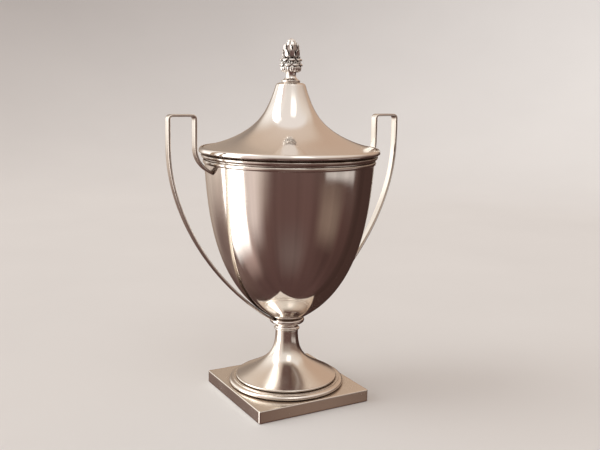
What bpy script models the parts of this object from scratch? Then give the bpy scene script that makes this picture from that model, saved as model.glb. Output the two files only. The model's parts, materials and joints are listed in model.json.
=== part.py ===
"""Covered two-handled cup with a pine-cone finial.

A square plinth carries a spun trumpet foot, a collar, a knop and an egg-shaped bowl, all pulled
together by one bolt. Two flat straps make the angular handles. The lid lifts off along the axis.
Metres, +Z up. The origin is in the middle of the underside, the handles lie along X.
"""

import math

import bmesh
import bpy
from mathutils import Vector
from mathutils.geometry import interpolate_bezier

# Fits
SEAT = 0.0003                   # gap kept between pieces that touch
BOLT_CLEARANCE = 0.0003         # round the tie bolt and the finial stud
BEZEL_CLEARANCE = 0.0005        # lid bezel inside the mouth of the bowl

# Plinth
PLINTH_MARGIN = 0.0019          # how far the plinth reaches past the foot ring on each side
PLINTH_HEIGHT = 0.0084
PLINTH_SHEET = 0.0015
PLINTH_EDGE = 0.0004            # rounding of the plinth's outer edges

# Foot: the ring, the trumpet that stands on it, and the collar
FOOT_RADIUS = 0.0346            # beaded lower edge of the trumpet
FOOT_WALL = 0.0011
FOOT_BEAD_HEIGHT = 0.0016
FOOT_BEAD_DEPTH = 0.0009
FOOT_RING_HEIGHT = 0.0036
FOOT_RING_PROJECTION = 0.0046   # how far the ring stands out past the trumpet
FOOT_RING_STEP = 0.0006         # flat step above the ring's round moulding
FOOT_RING_ROUND = 0.0027        # depth of the ring's round moulding
FOOT_RING_LAND = 0.0030         # how far the ring reaches in under the trumpet
TRUMPET_HEIGHT = 0.0329
TRUMPET_TOP = 0.0012            # thickness of the trumpet's closed top
STEM_RADIUS = 0.0077
STEM_PULL = 0.0193              # length over which the stem stays slender
FLARE_PULL = (0.0194, 0.0100)   # how flat the trumpet leaves its lower edge
BAND_RADIUS = 0.0081
BAND_HEIGHT = 0.0045
BAND_BEAD_DEPTH = 0.0006
BAND_BEAD_HEIGHT = 0.0012
KNOP_RADIUS = 0.01185
KNOP_HEIGHT = 0.0034
KNOP_ROUND = 0.0025             # depth of the knop's round edge

# Bowl
BOWL_RADIUS = 0.0560
BOWL_HEIGHT = 0.1118
BOWL_WALL = 0.0011
BOWL_FLOOR = 0.0018
BOWL_SEAT_RADIUS = 0.0102       # flat under the bowl that sits on the knop
BOWL_SPRING_RADIUS = 0.0130     # where the egg shape leaves the seat
BOWL_SPRING_HEIGHT = 0.0017
BOWL_RIM_DEPTH = 0.0061         # straight part below the mouth
BOWL_SIDE_PULL = (0.0022, 0.0440)
BOWL_BASE_PULL = (0.0325, 0.0200)
RIM_BEAD_DEPTH = 0.0020
RIM_BEAD_HEIGHT = 0.0031
GIRDLE_BEAD_DEPTH = 0.0008
GIRDLE_BEAD_HEIGHT = 0.0028
BEAD_GROOVE = 0.0006            # between the two mouldings of the rim

# Handles
STRAP_WIDTH = 0.0058
STRAP_THICKNESS = 0.0015
STRAP_CHAMFER = 0.0003
HANDLE_STANDOFF = 0.0111        # inner upright from the wall of the bowl
HANDLE_SPREAD = 0.0172          # between the two uprights
HANDLE_RISE = 0.0257            # above the mouth of the bowl
HANDLE_CORNER = 0.0022          # bend at the two top corners
HANDLE_INNER_UPRIGHT = 0.0193
HANDLE_OUTER_UPRIGHT = 0.0198
HANDLE_FOOT_DROP = 0.0044       # end of the strap below the lower moulding
HANDLE_FOOT_LEAN = (0.0060, 0.0032)
HANDLE_FOOT_PULL = 0.0085
HANDLE_SIDE_PULL = 0.0380
HANDLE_TAIL_PULL = 0.0460
HANDLE_TAIL_REACH = 0.0240      # radius where the strap leaves the underside of the bowl
HANDLE_TAIL_TUCK = 0.0004       # end of the strap inside the knop's radius

# Lid
LID_HEIGHT = 0.0456             # up to the seat of the finial
LID_DOME = 0.0011               # rise of the top from its edge to that seat
LID_WALL = 0.0010
LID_OVERLAP = 0.0016            # lid's skirt outside the wall of the bowl
LID_SKIRT = 0.0012
LID_SHOULDER = 0.0010           # from the skirt up to the hollow curve
LID_TOP_RADIUS = 0.0096
LID_CROWN_PULL = (0.0071, 0.0232)
LID_BRIM_PULL = (0.0333, 0.0114)
LID_BEAD_DEPTH = 0.0019
LID_BEAD_HEIGHT = 0.0028
BEZEL_WALL = 0.0009
BEZEL_DEPTH = 0.0090            # below the seat of the lid
BEZEL_LEAD = 0.00045            # chamfer that leads the bezel into the mouth

# Finial
FINIAL_FOOT_RADIUS = 0.0061
FINIAL_FOOT_EDGE = 0.0011
FINIAL_STEM_RADIUS = 0.0030
FINIAL_STEM_HEIGHT = 0.0067
FINIAL_NECK_RADIUS = 0.0036     # top of the stem, under the leaves
FINIAL_STEM_PULL = (0.0011, 0.0023)
CALYX_RADIUS = 0.0077
CALYX_HEIGHT = 0.0070
CALYX_WAIST = 0.0049            # height of the waist between the two rows of leaves
CALYX_PINCH = 0.00135           # depth of that waist
CALYX_WALL = 0.0009
CALYX_FLOOR = 0.0046
CALYX_LEAVES = 8
LEAF_GROOVE = 0.0011            # between two leaves of the lower row
LEAF_CREASE = 0.00055           # between two leaves of the upper row
LEAF_NOTCH = 0.0012             # between two leaf tips
LEAF_SET = 0.00045              # tips of the upper row inside the lower row
LEAF_CURL = 0.0003              # rounding of the tips
CONE_HEIGHT = 0.0158
CONE_CLEARANCE = 0.00095        # round the foot of the cone in its cup of leaves
CONE_SWELL = (0.0026, 0.0052)
CONE_SHOULDER = (0.0053, 0.0033)
CONE_TIP_RADIUS = 0.0009
CONE_BORE_DEPTH = 0.0060
CONE_SCALES = 8                 # scales in one row
CONE_ROWS = 5
SCALE_RELIEF = 0.00075

# Fasteners
STUD_RADIUS = 0.0012
STUD_NUT_FLATS = 0.0050
STUD_NUT_HEIGHT = 0.0024
STUD_WASHER_RADIUS = 0.0040
STUD_TAIL = 0.0010              # thread past the nut
BOLT_RADIUS = 0.0020
BOLT_HEAD_RADIUS = 0.0056
BOLT_HEAD_HEIGHT = 0.0026
BOLT_TAIL = 0.0006
STUD_POINT = 0.0003             # chamfer at the ends of the stud
BOLT_POINT = 0.0005             # chamfer at the end of the bolt
NUT_CHAMFER = 0.0004
TIE_NUT_FLATS = 0.0070
TIE_NUT_HEIGHT = 0.0026
TIE_WASHER_RADIUS = 0.0070
WASHER_THICKNESS = 0.0008

# Shape and fineness of the curves
LEAF_SQUARENESS = 4             # higher makes flatter leaves with narrower grooves
SCALE_CREST = 0.7               # share of a scale's length from its foot to its crest
SHARP_ANGLE = math.radians(35)  # steeper edges stay crisp
MERGE = 1e-6                    # points closer than this are one
ROUND_PROFILE = 0.5             # a bevel with this profile is a circular arc
EDGE_STEPS = 2
SEGMENTS = 36                   # round the large turned pieces
SMALL_SEGMENTS = 20             # round the small ones
NUT_SEGMENTS = 12
BEAD_STEPS = 4
LID_TOP_STEPS = 3
CURVE_STEPS = 9
FLARE_STEPS = 7
STEM_STEPS = 6
STRAP_FOOT_STEPS = 7
STRAP_CORNER_STEPS = 4
STRAP_DROP_STEPS = 12
FINE_STEPS = 60                 # where a curve is measured
TAIL_STRIDE = 4                 # every so many measured points, where the strap follows the bowl
DOME_STEPS = 5
LEAF_STEPS = 5                  # points across one leaf
SCALE_STEPS = 5                 # points across one scale, and up one row

# Colours and roughness
SILVER = (0.80, 0.74, 0.68, 1.0)
CAST_SILVER = (0.74, 0.69, 0.64, 1.0)
BRASS = (0.72, 0.53, 0.24, 1.0)
POLISHED = 0.08
CAST = 0.22
MACHINED = 0.35

# Heights of the stack, each piece on the one below
RING_Z = PLINTH_HEIGHT + SEAT
TRUMPET_Z = RING_Z + FOOT_RING_HEIGHT + SEAT
BAND_Z = TRUMPET_Z + TRUMPET_HEIGHT + SEAT
KNOP_Z = BAND_Z + BAND_HEIGHT + SEAT
BOWL_Z = KNOP_Z + KNOP_HEIGHT + SEAT
RIM_Z = BOWL_Z + BOWL_HEIGHT
LID_Z = RIM_Z + SEAT
STEM_Z = LID_HEIGHT + SEAT
CALYX_Z = STEM_Z + FINIAL_STEM_HEIGHT + SEAT
CONE_Z = CALYX_Z + CALYX_FLOOR + SEAT

# Sizes that follow from the others
PLINTH_SIDE = 2 * (FOOT_RADIUS + FOOT_RING_PROJECTION + PLINTH_MARGIN)
CALYX_WAIST_RADIUS = CALYX_RADIUS - CALYX_PINCH
CALYX_SEAT_RADIUS = CALYX_WAIST_RADIUS - CALYX_WALL
CONE_BASE_RADIUS = CALYX_SEAT_RADIUS - CONE_CLEARANCE
BOLT_BORE = BOLT_RADIUS + BOLT_CLEARANCE
STUD_BORE = STUD_RADIUS + BOLT_CLEARANCE


def curve(start, pull_start, pull_end, end, steps=CURVE_STEPS):
    """Points of a Bezier curve from start to end, as (radius, height) pairs."""
    knots = [Vector((*point, 0.0)) for point in (start, pull_start, pull_end, end)]
    return [(point.x, point.y) for point in interpolate_bezier(*knots, steps + 1)]


def half_round(back, front, bottom, top, steps=BEAD_STEPS):
    """Outline of a bead that swells from its flat back out to the radius front, bottom to top."""
    middle = (bottom + top) / 2
    points = []
    for step in range(steps + 1):
        angle = math.pi * step / steps
        radius = back + (front - back) * math.sin(angle)
        points.append((radius, middle - (top - bottom) / 2 * math.cos(angle)))
    return points


def directions(points):
    """Unit direction of an open line at each of its points."""
    last = len(points) - 1
    result = []
    for index in range(last + 1):
        before = Vector(points[max(index - 1, 0)])
        after = Vector(points[min(index + 1, last)])
        result.append((after - before).normalized())
    return result


def offset(points, distance):
    """The same line moved to its left by distance."""
    moved = []
    for point, along in zip(points, directions(points)):
        moved.append((point[0] - along.y * distance, point[1] + along.x * distance))
    return moved


def height_at(points, radius):
    """Height at which a line of (radius, height) points passes a radius."""
    for (r0, z0), (r1, z1) in zip(points, points[1:]):
        if min(r0, r1) <= radius <= max(r0, r1) and r0 != r1:
            return z0 + (z1 - z0) * (radius - r0) / (r1 - r0)
    return points[-1][1]


def radius_at(points, height):
    """Radius at which a line of (radius, height) points passes a height."""
    return height_at([(z, r) for r, z in points], height)


def empty(name, z):
    """A handle for an assembly, on the axis."""
    holder = bpy.data.objects.new(name, None)
    holder.location.z = z
    bpy.context.scene.collection.objects.link(holder)
    return holder


def finish(piece, colour, roughness):
    """Give a piece its own metal."""
    material = bpy.data.materials.new(f"{piece.name}_metal")
    material.use_nodes = True
    shader = material.node_tree.nodes["Principled BSDF"]
    shader.inputs["Base Color"].default_value = colour
    shader.inputs["Metallic"].default_value = 1.0
    shader.inputs["Roughness"].default_value = roughness
    piece.data.materials.append(material)


def piece_from(bm, name, holder, z, colour=SILVER, roughness=POLISHED):
    """Turn a bmesh into a named object at a height in its assembly."""
    bmesh.ops.recalc_face_normals(bm, faces=bm.faces)
    mesh = bpy.data.meshes.new(name)
    bm.to_mesh(mesh)
    bm.free()
    mesh.shade_smooth()
    mesh.set_sharp_from_angle(angle=SHARP_ANGLE)
    piece = bpy.data.objects.new(name, mesh)
    bpy.context.scene.collection.objects.link(piece)
    piece.parent = holder
    piece.location.z = z
    finish(piece, colour, roughness)
    return piece


def turned(outline, segments=SEGMENTS):
    """Spin an outline of (radius, height) points round the axis.

    An outline that starts and ends on the axis makes a solid, any other one a ring.
    """
    bm = bmesh.new()
    verts = [bm.verts.new((radius, 0.0, height)) for radius, height in outline]
    edges = [bm.edges.new(pair) for pair in zip(verts, verts[1:])]
    if outline[0][0] > 0:
        edges.append(bm.edges.new((verts[-1], verts[0])))
    bmesh.ops.spin(bm, geom=verts + edges, cent=(0, 0, 0), axis=(0, 0, 1), angle=math.tau,
                   steps=segments, use_merge=True)
    bmesh.ops.remove_doubles(bm, verts=bm.verts, dist=MERGE)
    return bm


def lofted(rings, closed=False):
    """Skin a row of rings that have equal counts of points; closed joins the last to the first."""
    bm = bmesh.new()
    loops = [[bm.verts.new(point) for point in ring] for ring in rings]
    pairs = list(zip(loops, loops[1:]))
    if closed:
        pairs.append((loops[-1], loops[0]))
    else:
        bm.faces.new(loops[0])
        bm.faces.new(loops[-1])
    for lower, upper in pairs:
        for index in range(len(lower)):
            following = (index + 1) % len(lower)
            bm.faces.new((lower[index], lower[following], upper[following], upper[index]))
    return bm


def polar_ring(radius, height, count):
    """Ring of points; radius and height may be functions of the turn, 0 to 1."""
    points = []
    for index in range(count):
        turn = index / count
        r = radius(turn) if callable(radius) else radius
        z = height(turn) if callable(height) else height
        points.append((r * math.cos(math.tau * turn), r * math.sin(math.tau * turn), z))
    return points


# Plinth and foot

def make_plinth(cup):
    """Square sheet base: five walls, open underneath, with a hole for the tie bolt."""
    bm = bmesh.new()
    bmesh.ops.create_cube(bm, size=1.0)
    bmesh.ops.scale(bm, vec=(PLINTH_SIDE, PLINTH_SIDE, PLINTH_HEIGHT), verts=bm.verts)
    bmesh.ops.translate(bm, vec=(0, 0, PLINTH_HEIGHT / 2), verts=bm.verts)
    edges = [edge for edge in bm.edges if max(vert.co.z for vert in edge.verts) > PLINTH_EDGE]
    underside = [face for face in bm.faces if face.calc_center_median().z < PLINTH_EDGE]
    bm.normal_update()
    bmesh.ops.inset_region(bm, faces=underside, thickness=PLINTH_SHEET, use_even_offset=True)
    hollow = bmesh.ops.extrude_face_region(bm, geom=underside)["geom"]
    ceiling = [part for part in hollow if isinstance(part, bmesh.types.BMVert)]
    bmesh.ops.translate(bm, vec=(0, 0, PLINTH_HEIGHT - PLINTH_SHEET), verts=ceiling)
    bmesh.ops.delete(bm, geom=underside, context="FACES")
    bmesh.ops.bevel(bm, geom=edges, offset=PLINTH_EDGE, segments=EDGE_STEPS, profile=ROUND_PROFILE,
                    affect="EDGES")
    plinth = piece_from(bm, "plinth", cup, 0.0)
    bore = [(0, PLINTH_HEIGHT), (BOLT_BORE, PLINTH_HEIGHT), (BOLT_BORE, 0), (0, 0)]
    drill = piece_from(turned(bore, SMALL_SEGMENTS), "plinth_drill", cup, PLINTH_HEIGHT / 2)
    drill.hide_render = True
    drill.display_type = "WIRE"
    cut = plinth.modifiers.new("bolt_hole", "BOOLEAN")
    cut.operation = "DIFFERENCE"
    cut.object = drill


def make_foot_ring(cup):
    """Turned ring between plinth and trumpet: a round moulding with a flat step above it."""
    outer = FOOT_RADIUS + FOOT_RING_PROJECTION
    inner = FOOT_RADIUS - FOOT_RING_LAND
    round_top = FOOT_RING_HEIGHT - FOOT_RING_STEP
    outline = [(inner, 0)]
    outline += half_round(outer - FOOT_RING_ROUND, outer, 0, round_top)
    outline += [(outer - FOOT_RING_ROUND, FOOT_RING_HEIGHT), (inner, FOOT_RING_HEIGHT)]
    piece_from(turned(outline), "foot_ring", cup, RING_Z)


def make_foot_trumpet(cup):
    """Spun foot: beaded lower edge, hollow flare and slender stem, closed at the top."""
    edge = FOOT_RADIUS - FOOT_BEAD_DEPTH
    flare = curve((edge, FOOT_BEAD_HEIGHT),
                  (edge - FLARE_PULL[0], FOOT_BEAD_HEIGHT + FLARE_PULL[1]),
                  (STEM_RADIUS, TRUMPET_HEIGHT - STEM_PULL), (STEM_RADIUS, TRUMPET_HEIGHT),
                  FLARE_STEPS)
    ceiling = TRUMPET_HEIGHT - TRUMPET_TOP
    inside = [(r, min(max(z, 0), ceiling)) for r, z in offset(flare, FOOT_WALL)]
    outline = half_round(edge, FOOT_RADIUS, 0, FOOT_BEAD_HEIGHT) + flare[1:]
    outline += [(BOLT_BORE, TRUMPET_HEIGHT), (BOLT_BORE, ceiling)]
    outline += list(reversed(inside)) + [(edge - FOOT_WALL, 0)]
    piece_from(turned(outline), "foot_trumpet", cup, TRUMPET_Z)


def make_neck_band(cup):
    """Collar at the top of the stem, with a bead along its lower edge and a flared upper edge."""
    top_bead = BAND_HEIGHT - BAND_BEAD_HEIGHT / 2
    outline = [(BOLT_BORE, 0)]
    outline += half_round(BAND_RADIUS, BAND_RADIUS + BAND_BEAD_DEPTH, 0, BAND_BEAD_HEIGHT)
    outline += [(BAND_RADIUS - BAND_BEAD_DEPTH, BAND_HEIGHT / 2), (BAND_RADIUS, top_bead)]
    outline += [(BAND_RADIUS, BAND_HEIGHT), (BOLT_BORE, BAND_HEIGHT)]
    piece_from(turned(outline, SMALL_SEGMENTS), "neck_band", cup, BAND_Z)


def make_knop_ring(cup):
    """Round ring between the collar and the bowl."""
    outline = [(BOLT_BORE, 0)]
    outline += half_round(KNOP_RADIUS - KNOP_ROUND, KNOP_RADIUS, 0, KNOP_HEIGHT, STEM_STEPS)
    outline += [(BOLT_BORE, KNOP_HEIGHT)]
    piece_from(turned(outline), "knop_ring", cup, KNOP_Z)


# Bowl

def bowl_side(steps=CURVE_STEPS):
    """Outside of the bowl from the spring above its seat up to the straight rim."""
    spring = (BOWL_SPRING_RADIUS, BOWL_SPRING_HEIGHT)
    shoulder = (BOWL_RADIUS, BOWL_HEIGHT - BOWL_RIM_DEPTH)
    return curve(spring, (spring[0] + BOWL_BASE_PULL[0], spring[1] + BOWL_BASE_PULL[1]),
                 (shoulder[0] - BOWL_SIDE_PULL[0], shoulder[1] - BOWL_SIDE_PULL[1]), shoulder, steps)


def make_bowl(cup):
    """Spun egg-shaped shell, open at the top, with a flat seat and a hole for the tie bolt."""
    side = bowl_side()
    inside = [(r, max(z, BOWL_FLOOR)) for r, z in offset(side, BOWL_WALL)]
    outline = [(BOLT_BORE, 0), (BOWL_SEAT_RADIUS, 0)] + side
    outline += [(BOWL_RADIUS, BOWL_HEIGHT), (BOWL_RADIUS - BOWL_WALL, BOWL_HEIGHT)]
    outline += list(reversed(inside)) + [(BOWL_SEAT_RADIUS, BOWL_FLOOR), (BOLT_BORE, BOWL_FLOOR)]
    piece_from(turned(outline), "bowl", cup, BOWL_Z)


def make_rim_beads(cup):
    """Two moulding wires round the mouth of the bowl, the upper one fuller."""
    back = BOWL_RADIUS + SEAT
    piece_from(turned(half_round(back, back + RIM_BEAD_DEPTH, -RIM_BEAD_HEIGHT, 0)),
               "bowl_rim_bead", cup, RIM_Z)
    piece_from(turned(half_round(back, back + GIRDLE_BEAD_DEPTH, 0, GIRDLE_BEAD_HEIGHT)),
               "bowl_girdle_bead", cup, girdle_bottom())


def girdle_bottom():
    """Height of the underside of the lower moulding."""
    return RIM_Z - RIM_BEAD_HEIGHT - BEAD_GROOVE - GIRDLE_BEAD_HEIGHT


# Handles

def strap_tail():
    """Middle of the strap where it follows the underside of the bowl down to the knop."""
    middle = offset(bowl_side(FINE_STEPS), -(SEAT + STRAP_THICKNESS / 2))
    tail = [(r, BOWL_Z + z) for r, z in reversed(middle) if r <= HANDLE_TAIL_REACH]
    along = directions(tail)[-1]
    end_radius = KNOP_RADIUS - HANDLE_TAIL_TUCK
    run = (tail[-1][0] - end_radius) / -along.x
    end = Vector(tail[-1]) + along * run
    return tail[::TAIL_STRIDE] + [tuple(end)]


def strap_path():
    """Middle line of a handle from the wall of the bowl round to the knop, as (x, z) points."""
    inner = BOWL_RADIUS + HANDLE_STANDOFF
    outer = inner + HANDLE_SPREAD
    top = RIM_Z + HANDLE_RISE - STRAP_THICKNESS / 2
    foot_z = girdle_bottom() - HANDLE_FOOT_DROP
    foot_x = radius_at(bowl_side(FINE_STEPS), foot_z - BOWL_Z) + SEAT
    bend = top - HANDLE_INNER_UPRIGHT
    path = curve((foot_x, foot_z), (foot_x + HANDLE_FOOT_LEAN[0], foot_z + HANDLE_FOOT_LEAN[1]),
                 (inner, bend - HANDLE_FOOT_PULL), (inner, bend), STRAP_FOOT_STEPS)
    for centre, first in ((inner + HANDLE_CORNER, math.pi), (outer - HANDLE_CORNER, math.pi / 2)):
        for step in range(STRAP_CORNER_STEPS + 1):
            angle = first - math.pi / 2 * step / STRAP_CORNER_STEPS
            path.append((centre + HANDLE_CORNER * math.cos(angle),
                         top - HANDLE_CORNER + HANDLE_CORNER * math.sin(angle)))
    tail = strap_tail()
    lead = directions(tail)[0]
    drop = top - HANDLE_OUTER_UPRIGHT
    path += curve((outer, drop), (outer, drop - HANDLE_SIDE_PULL),
                  (tail[0][0] - lead.x * HANDLE_TAIL_PULL, tail[0][1] - lead.y * HANDLE_TAIL_PULL),
                  tail[0], STRAP_DROP_STEPS)
    return path + tail[1:]


def strap_section(point, across, side):
    """Chamfered cross-section of the strap at a point; across is half its thickness as a vector."""
    wide = STRAP_WIDTH / 2
    narrow = wide - STRAP_CHAMFER
    inset = 1 - 2 * STRAP_CHAMFER / STRAP_THICKNESS
    corners = [(narrow, 1), (wide, inset), (wide, -inset), (narrow, -1),
               (-narrow, -1), (-wide, -inset), (-wide, inset), (-narrow, 1)]
    return [(side * (point[0] + across.x * share), y, point[1] + across.y * share)
            for y, share in corners]


def make_handle(cup, name, side):
    """Flat strap swept along the handle's middle line; its upper end is cut to the bowl's wall."""
    path = strap_path()
    rings = []
    for index, (point, along) in enumerate(zip(path, directions(path))):
        across = Vector((-along.y, along.x)) * STRAP_THICKNESS / 2
        if index == 0:
            across = Vector((0, STRAP_THICKNESS / 2 / along.x))
        rings.append(strap_section(point, across, side))
    piece_from(lofted(rings), name, cup, 0.0)


# Lid

def lid_side():
    """Outside of the lid from the shoulder above its skirt, up the hollow curve and over its domed top."""
    brim = (BOWL_RADIUS + LID_OVERLAP - LID_SHOULDER, LID_SKIRT + LID_SHOULDER)
    crown = (LID_TOP_RADIUS, LID_HEIGHT - LID_DOME)
    seat = (FINIAL_FOOT_RADIUS + SEAT, LID_HEIGHT)
    crest = ((crown[0] + seat[0]) / 2, LID_HEIGHT)
    hollow = curve(brim, (brim[0] - LID_BRIM_PULL[0], brim[1] + LID_BRIM_PULL[1]),
                   (crown[0] + LID_CROWN_PULL[0], crown[1] - LID_CROWN_PULL[1]), crown)
    return hollow + curve(crown, crest, crest, seat, LID_TOP_STEPS)[1:]


def lid_inside():
    """Underside of the lid, brim to crown."""
    return [(r, min(z, LID_HEIGHT - LID_WALL)) for r, z in offset(lid_side(), LID_WALL)]


def make_lid_cover(lid):
    """Spun lid: a skirt that sits on the rim, a hollow curve, and a low domed top with a stud hole."""
    skirt = BOWL_RADIUS + LID_OVERLAP
    outline = [(skirt - LID_WALL, 0), (skirt, 0), (skirt, LID_SKIRT)] + lid_side()
    outline += [(STUD_BORE, LID_HEIGHT), (STUD_BORE, LID_HEIGHT - LID_WALL)]
    outline += list(reversed(lid_inside()))
    piece_from(turned(outline), "lid_cover", lid, 0.0)


def make_lid_edge_bead(lid):
    """Moulding wire round the skirt of the lid."""
    back = BOWL_RADIUS + LID_OVERLAP + SEAT
    piece_from(turned(half_round(back, back + LID_BEAD_DEPTH, 0, LID_BEAD_HEIGHT)),
               "lid_edge_bead", lid, 0.0)


def make_lid_bezel(lid):
    """Ring under the lid that drops into the mouth of the bowl."""
    outer = BOWL_RADIUS - BOWL_WALL - BEZEL_CLEARANCE
    inner = outer - BEZEL_WALL
    top = height_at(lid_inside(), outer) - SEAT
    outline = [(inner, -BEZEL_DEPTH), (outer - BEZEL_LEAD, -BEZEL_DEPTH),
               (outer, BEZEL_LEAD - BEZEL_DEPTH), (outer, top), (inner, top)]
    piece_from(turned(outline), "lid_bezel", lid, 0.0)


# Finial

def make_finial_stem(lid):
    """Cast foot of the finial: a flared disc that narrows to a thin stem."""
    stem = curve((FINIAL_FOOT_RADIUS, FINIAL_FOOT_EDGE),
                 (FINIAL_STEM_RADIUS, FINIAL_FOOT_EDGE + FINIAL_STEM_PULL[0]),
                 (FINIAL_STEM_RADIUS, FINIAL_STEM_HEIGHT - FINIAL_STEM_PULL[1]),
                 (FINIAL_NECK_RADIUS, FINIAL_STEM_HEIGHT), STEM_STEPS)
    outline = [(STUD_BORE, 0), (FINIAL_FOOT_RADIUS, 0)] + stem + [(STUD_BORE, FINIAL_STEM_HEIGHT)]
    piece_from(turned(outline, SMALL_SEGMENTS), "finial_stem", lid, STEM_Z, CAST_SILVER, CAST)


def leaf_valley(turn, shift):
    """1 in the groove between two leaves, 0 along the middle of a leaf."""
    place = (turn * CALYX_LEAVES + shift) % 1.0
    return abs(2 * place - 1) ** LEAF_SQUARENESS


def make_finial_calyx(lid):
    """Cup of curled leaves in two rows, the upper row set between the leaves of the lower one."""
    # With both pulls at this radius, the middle of the curve reaches CALYX_RADIUS.
    pull = (8 * CALYX_RADIUS - FINIAL_NECK_RADIUS - CALYX_WAIST_RADIUS) / 6
    lower = curve((FINIAL_NECK_RADIUS, 0), (pull, 0), (pull, CALYX_WAIST),
                  (CALYX_WAIST_RADIUS, CALYX_WAIST), STEM_STEPS)
    tip = CALYX_RADIUS - LEAF_SET
    upper = [(CALYX_WAIST_RADIUS, CALYX_WAIST), (tip - LEAF_CURL, (CALYX_WAIST + CALYX_HEIGHT) / 2),
             (tip, CALYX_HEIGHT - LEAF_CURL), (tip - LEAF_CURL, CALYX_HEIGHT)]
    count = CALYX_LEAVES * LEAF_STEPS
    rings = [polar_ring(STUD_BORE, 0, count)]
    for radius, height in lower[:-1]:
        deep = LEAF_GROOVE * math.sin(math.pi * height / CALYX_WAIST)
        rings.append(polar_ring(lambda turn: radius - deep * leaf_valley(turn, 0.0), height, count))
    for radius, height in upper:
        share = (height - CALYX_WAIST) / (CALYX_HEIGHT - CALYX_WAIST)
        crease = LEAF_CREASE * share
        notch = LEAF_NOTCH * share
        rings.append(polar_ring(lambda turn: radius - crease * leaf_valley(turn, 0.5),
                                lambda turn: height - notch * leaf_valley(turn, 0.5), count))
    rings.append(polar_ring(CALYX_SEAT_RADIUS, CALYX_FLOOR, count))
    rings.append(polar_ring(STUD_BORE, CALYX_FLOOR, count))
    piece_from(lofted(rings, closed=True), "finial_calyx", lid, CALYX_Z, CAST_SILVER, CAST)


def scale_relief(turn, row):
    """Height, 0 to 1, of the scale that covers a place: it rises to a tip, then drops steeply."""
    relief = 0.0
    for centre in (math.floor(row), math.floor(row) + 1):
        place = (turn * CONE_SCALES - 0.5 * (centre % 2) + 0.5) % 1.0
        reach = 1 - 2 * abs(place - 0.5)
        if reach > 0 and abs(row - centre) < reach:
            share = (row - centre + reach) / (2 * reach)
            rise = min(share / SCALE_CREST, (1 - share) / (1 - SCALE_CREST))
            relief = max(relief, math.sqrt(reach) * rise)
    return relief


def make_finial_cone(lid):
    """Pine cone with rows of overlapping scales, on a blind hole for the stud."""
    base = (CONE_BASE_RADIUS, 0)
    tip = (CONE_TIP_RADIUS, CONE_HEIGHT)
    side = curve(base, (base[0] + CONE_SWELL[0], CONE_SWELL[1]),
                 (tip[0] + CONE_SHOULDER[0], tip[1] - CONE_SHOULDER[1]), tip, CONE_ROWS * SCALE_STEPS)
    count = CONE_SCALES * SCALE_STEPS
    rings = [polar_ring(STUD_BORE, CONE_BORE_DEPTH, count), polar_ring(STUD_BORE, 0, count)]
    for step, (radius, height) in enumerate(side):
        row = step / SCALE_STEPS
        depth = SCALE_RELIEF * radius / CONE_BASE_RADIUS
        rings.append(polar_ring(lambda turn: radius - depth * (1 - scale_relief(turn, row)),
                                height, count))
    piece_from(lofted(rings), "finial_cone", lid, CONE_Z, CAST_SILVER, CAST)


# Fasteners

def hexagon(flats):
    """Radius of a hexagon as a function of the turn."""
    return lambda turn: flats / 2 / math.cos((turn * math.tau) % (math.pi / 3) - math.pi / 6)


def make_nut(holder, name, bore, flats, height, z):
    """Hexagon nut with its corners turned off at both ends."""
    steps = [(bore, 0), (flats / 2, 0), (hexagon(flats), NUT_CHAMFER),
             (hexagon(flats), height - NUT_CHAMFER), (flats / 2, height), (bore, height)]
    rings = [polar_ring(radius, level, NUT_SEGMENTS) for radius, level in steps]
    piece_from(lofted(rings, closed=True), name, holder, z, BRASS, MACHINED)


def make_washer(holder, name, bore, radius, z):
    """Flat washer."""
    outline = [(bore, 0), (radius, 0), (radius, WASHER_THICKNESS), (bore, WASHER_THICKNESS)]
    piece_from(turned(outline, SMALL_SEGMENTS), name, holder, z, BRASS, MACHINED)


def make_finial_fasteners(lid):
    """Stud up through the finial, with its washer and nut under the top of the lid."""
    washer_z = LID_HEIGHT - LID_WALL - SEAT - WASHER_THICKNESS
    nut_z = washer_z - SEAT - STUD_NUT_HEIGHT
    make_washer(lid, "finial_washer", STUD_BORE, STUD_WASHER_RADIUS, washer_z)
    make_nut(lid, "finial_nut", STUD_BORE, STUD_NUT_FLATS, STUD_NUT_HEIGHT, nut_z)
    bottom = nut_z - STUD_TAIL
    length = CONE_Z + CONE_BORE_DEPTH - SEAT - bottom
    point = STUD_RADIUS - STUD_POINT
    outline = [(0, length), (point, length), (STUD_RADIUS, length - STUD_POINT),
               (STUD_RADIUS, STUD_POINT), (point, 0), (0, 0)]
    piece_from(turned(outline, SMALL_SEGMENTS), "finial_stud", lid, bottom, BRASS, MACHINED)


def make_tie_fasteners(cup):
    """Domed bolt from the floor of the bowl down to a washer and nut under the plinth."""
    washer_z = PLINTH_HEIGHT - PLINTH_SHEET - SEAT - WASHER_THICKNESS
    nut_z = washer_z - SEAT - TIE_NUT_HEIGHT
    make_washer(cup, "tie_washer", BOLT_BORE, TIE_WASHER_RADIUS, washer_z)
    make_nut(cup, "tie_nut", BOLT_BORE, TIE_NUT_FLATS, TIE_NUT_HEIGHT, nut_z)
    bottom = nut_z - BOLT_TAIL
    head = BOWL_Z + BOWL_FLOOR + SEAT - bottom
    outline = [(0, head + BOLT_HEAD_HEIGHT)]
    for step in range(1, DOME_STEPS + 1):
        angle = math.pi / 2 * step / DOME_STEPS
        outline.append((BOLT_HEAD_RADIUS * math.sin(angle), head + BOLT_HEAD_HEIGHT * math.cos(angle)))
    outline += [(BOLT_RADIUS, head), (BOLT_RADIUS, BOLT_POINT), (BOLT_RADIUS - BOLT_POINT, 0), (0, 0)]
    piece_from(turned(outline, SMALL_SEGMENTS), "tie_bolt", cup, bottom, BRASS, MACHINED)


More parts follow.
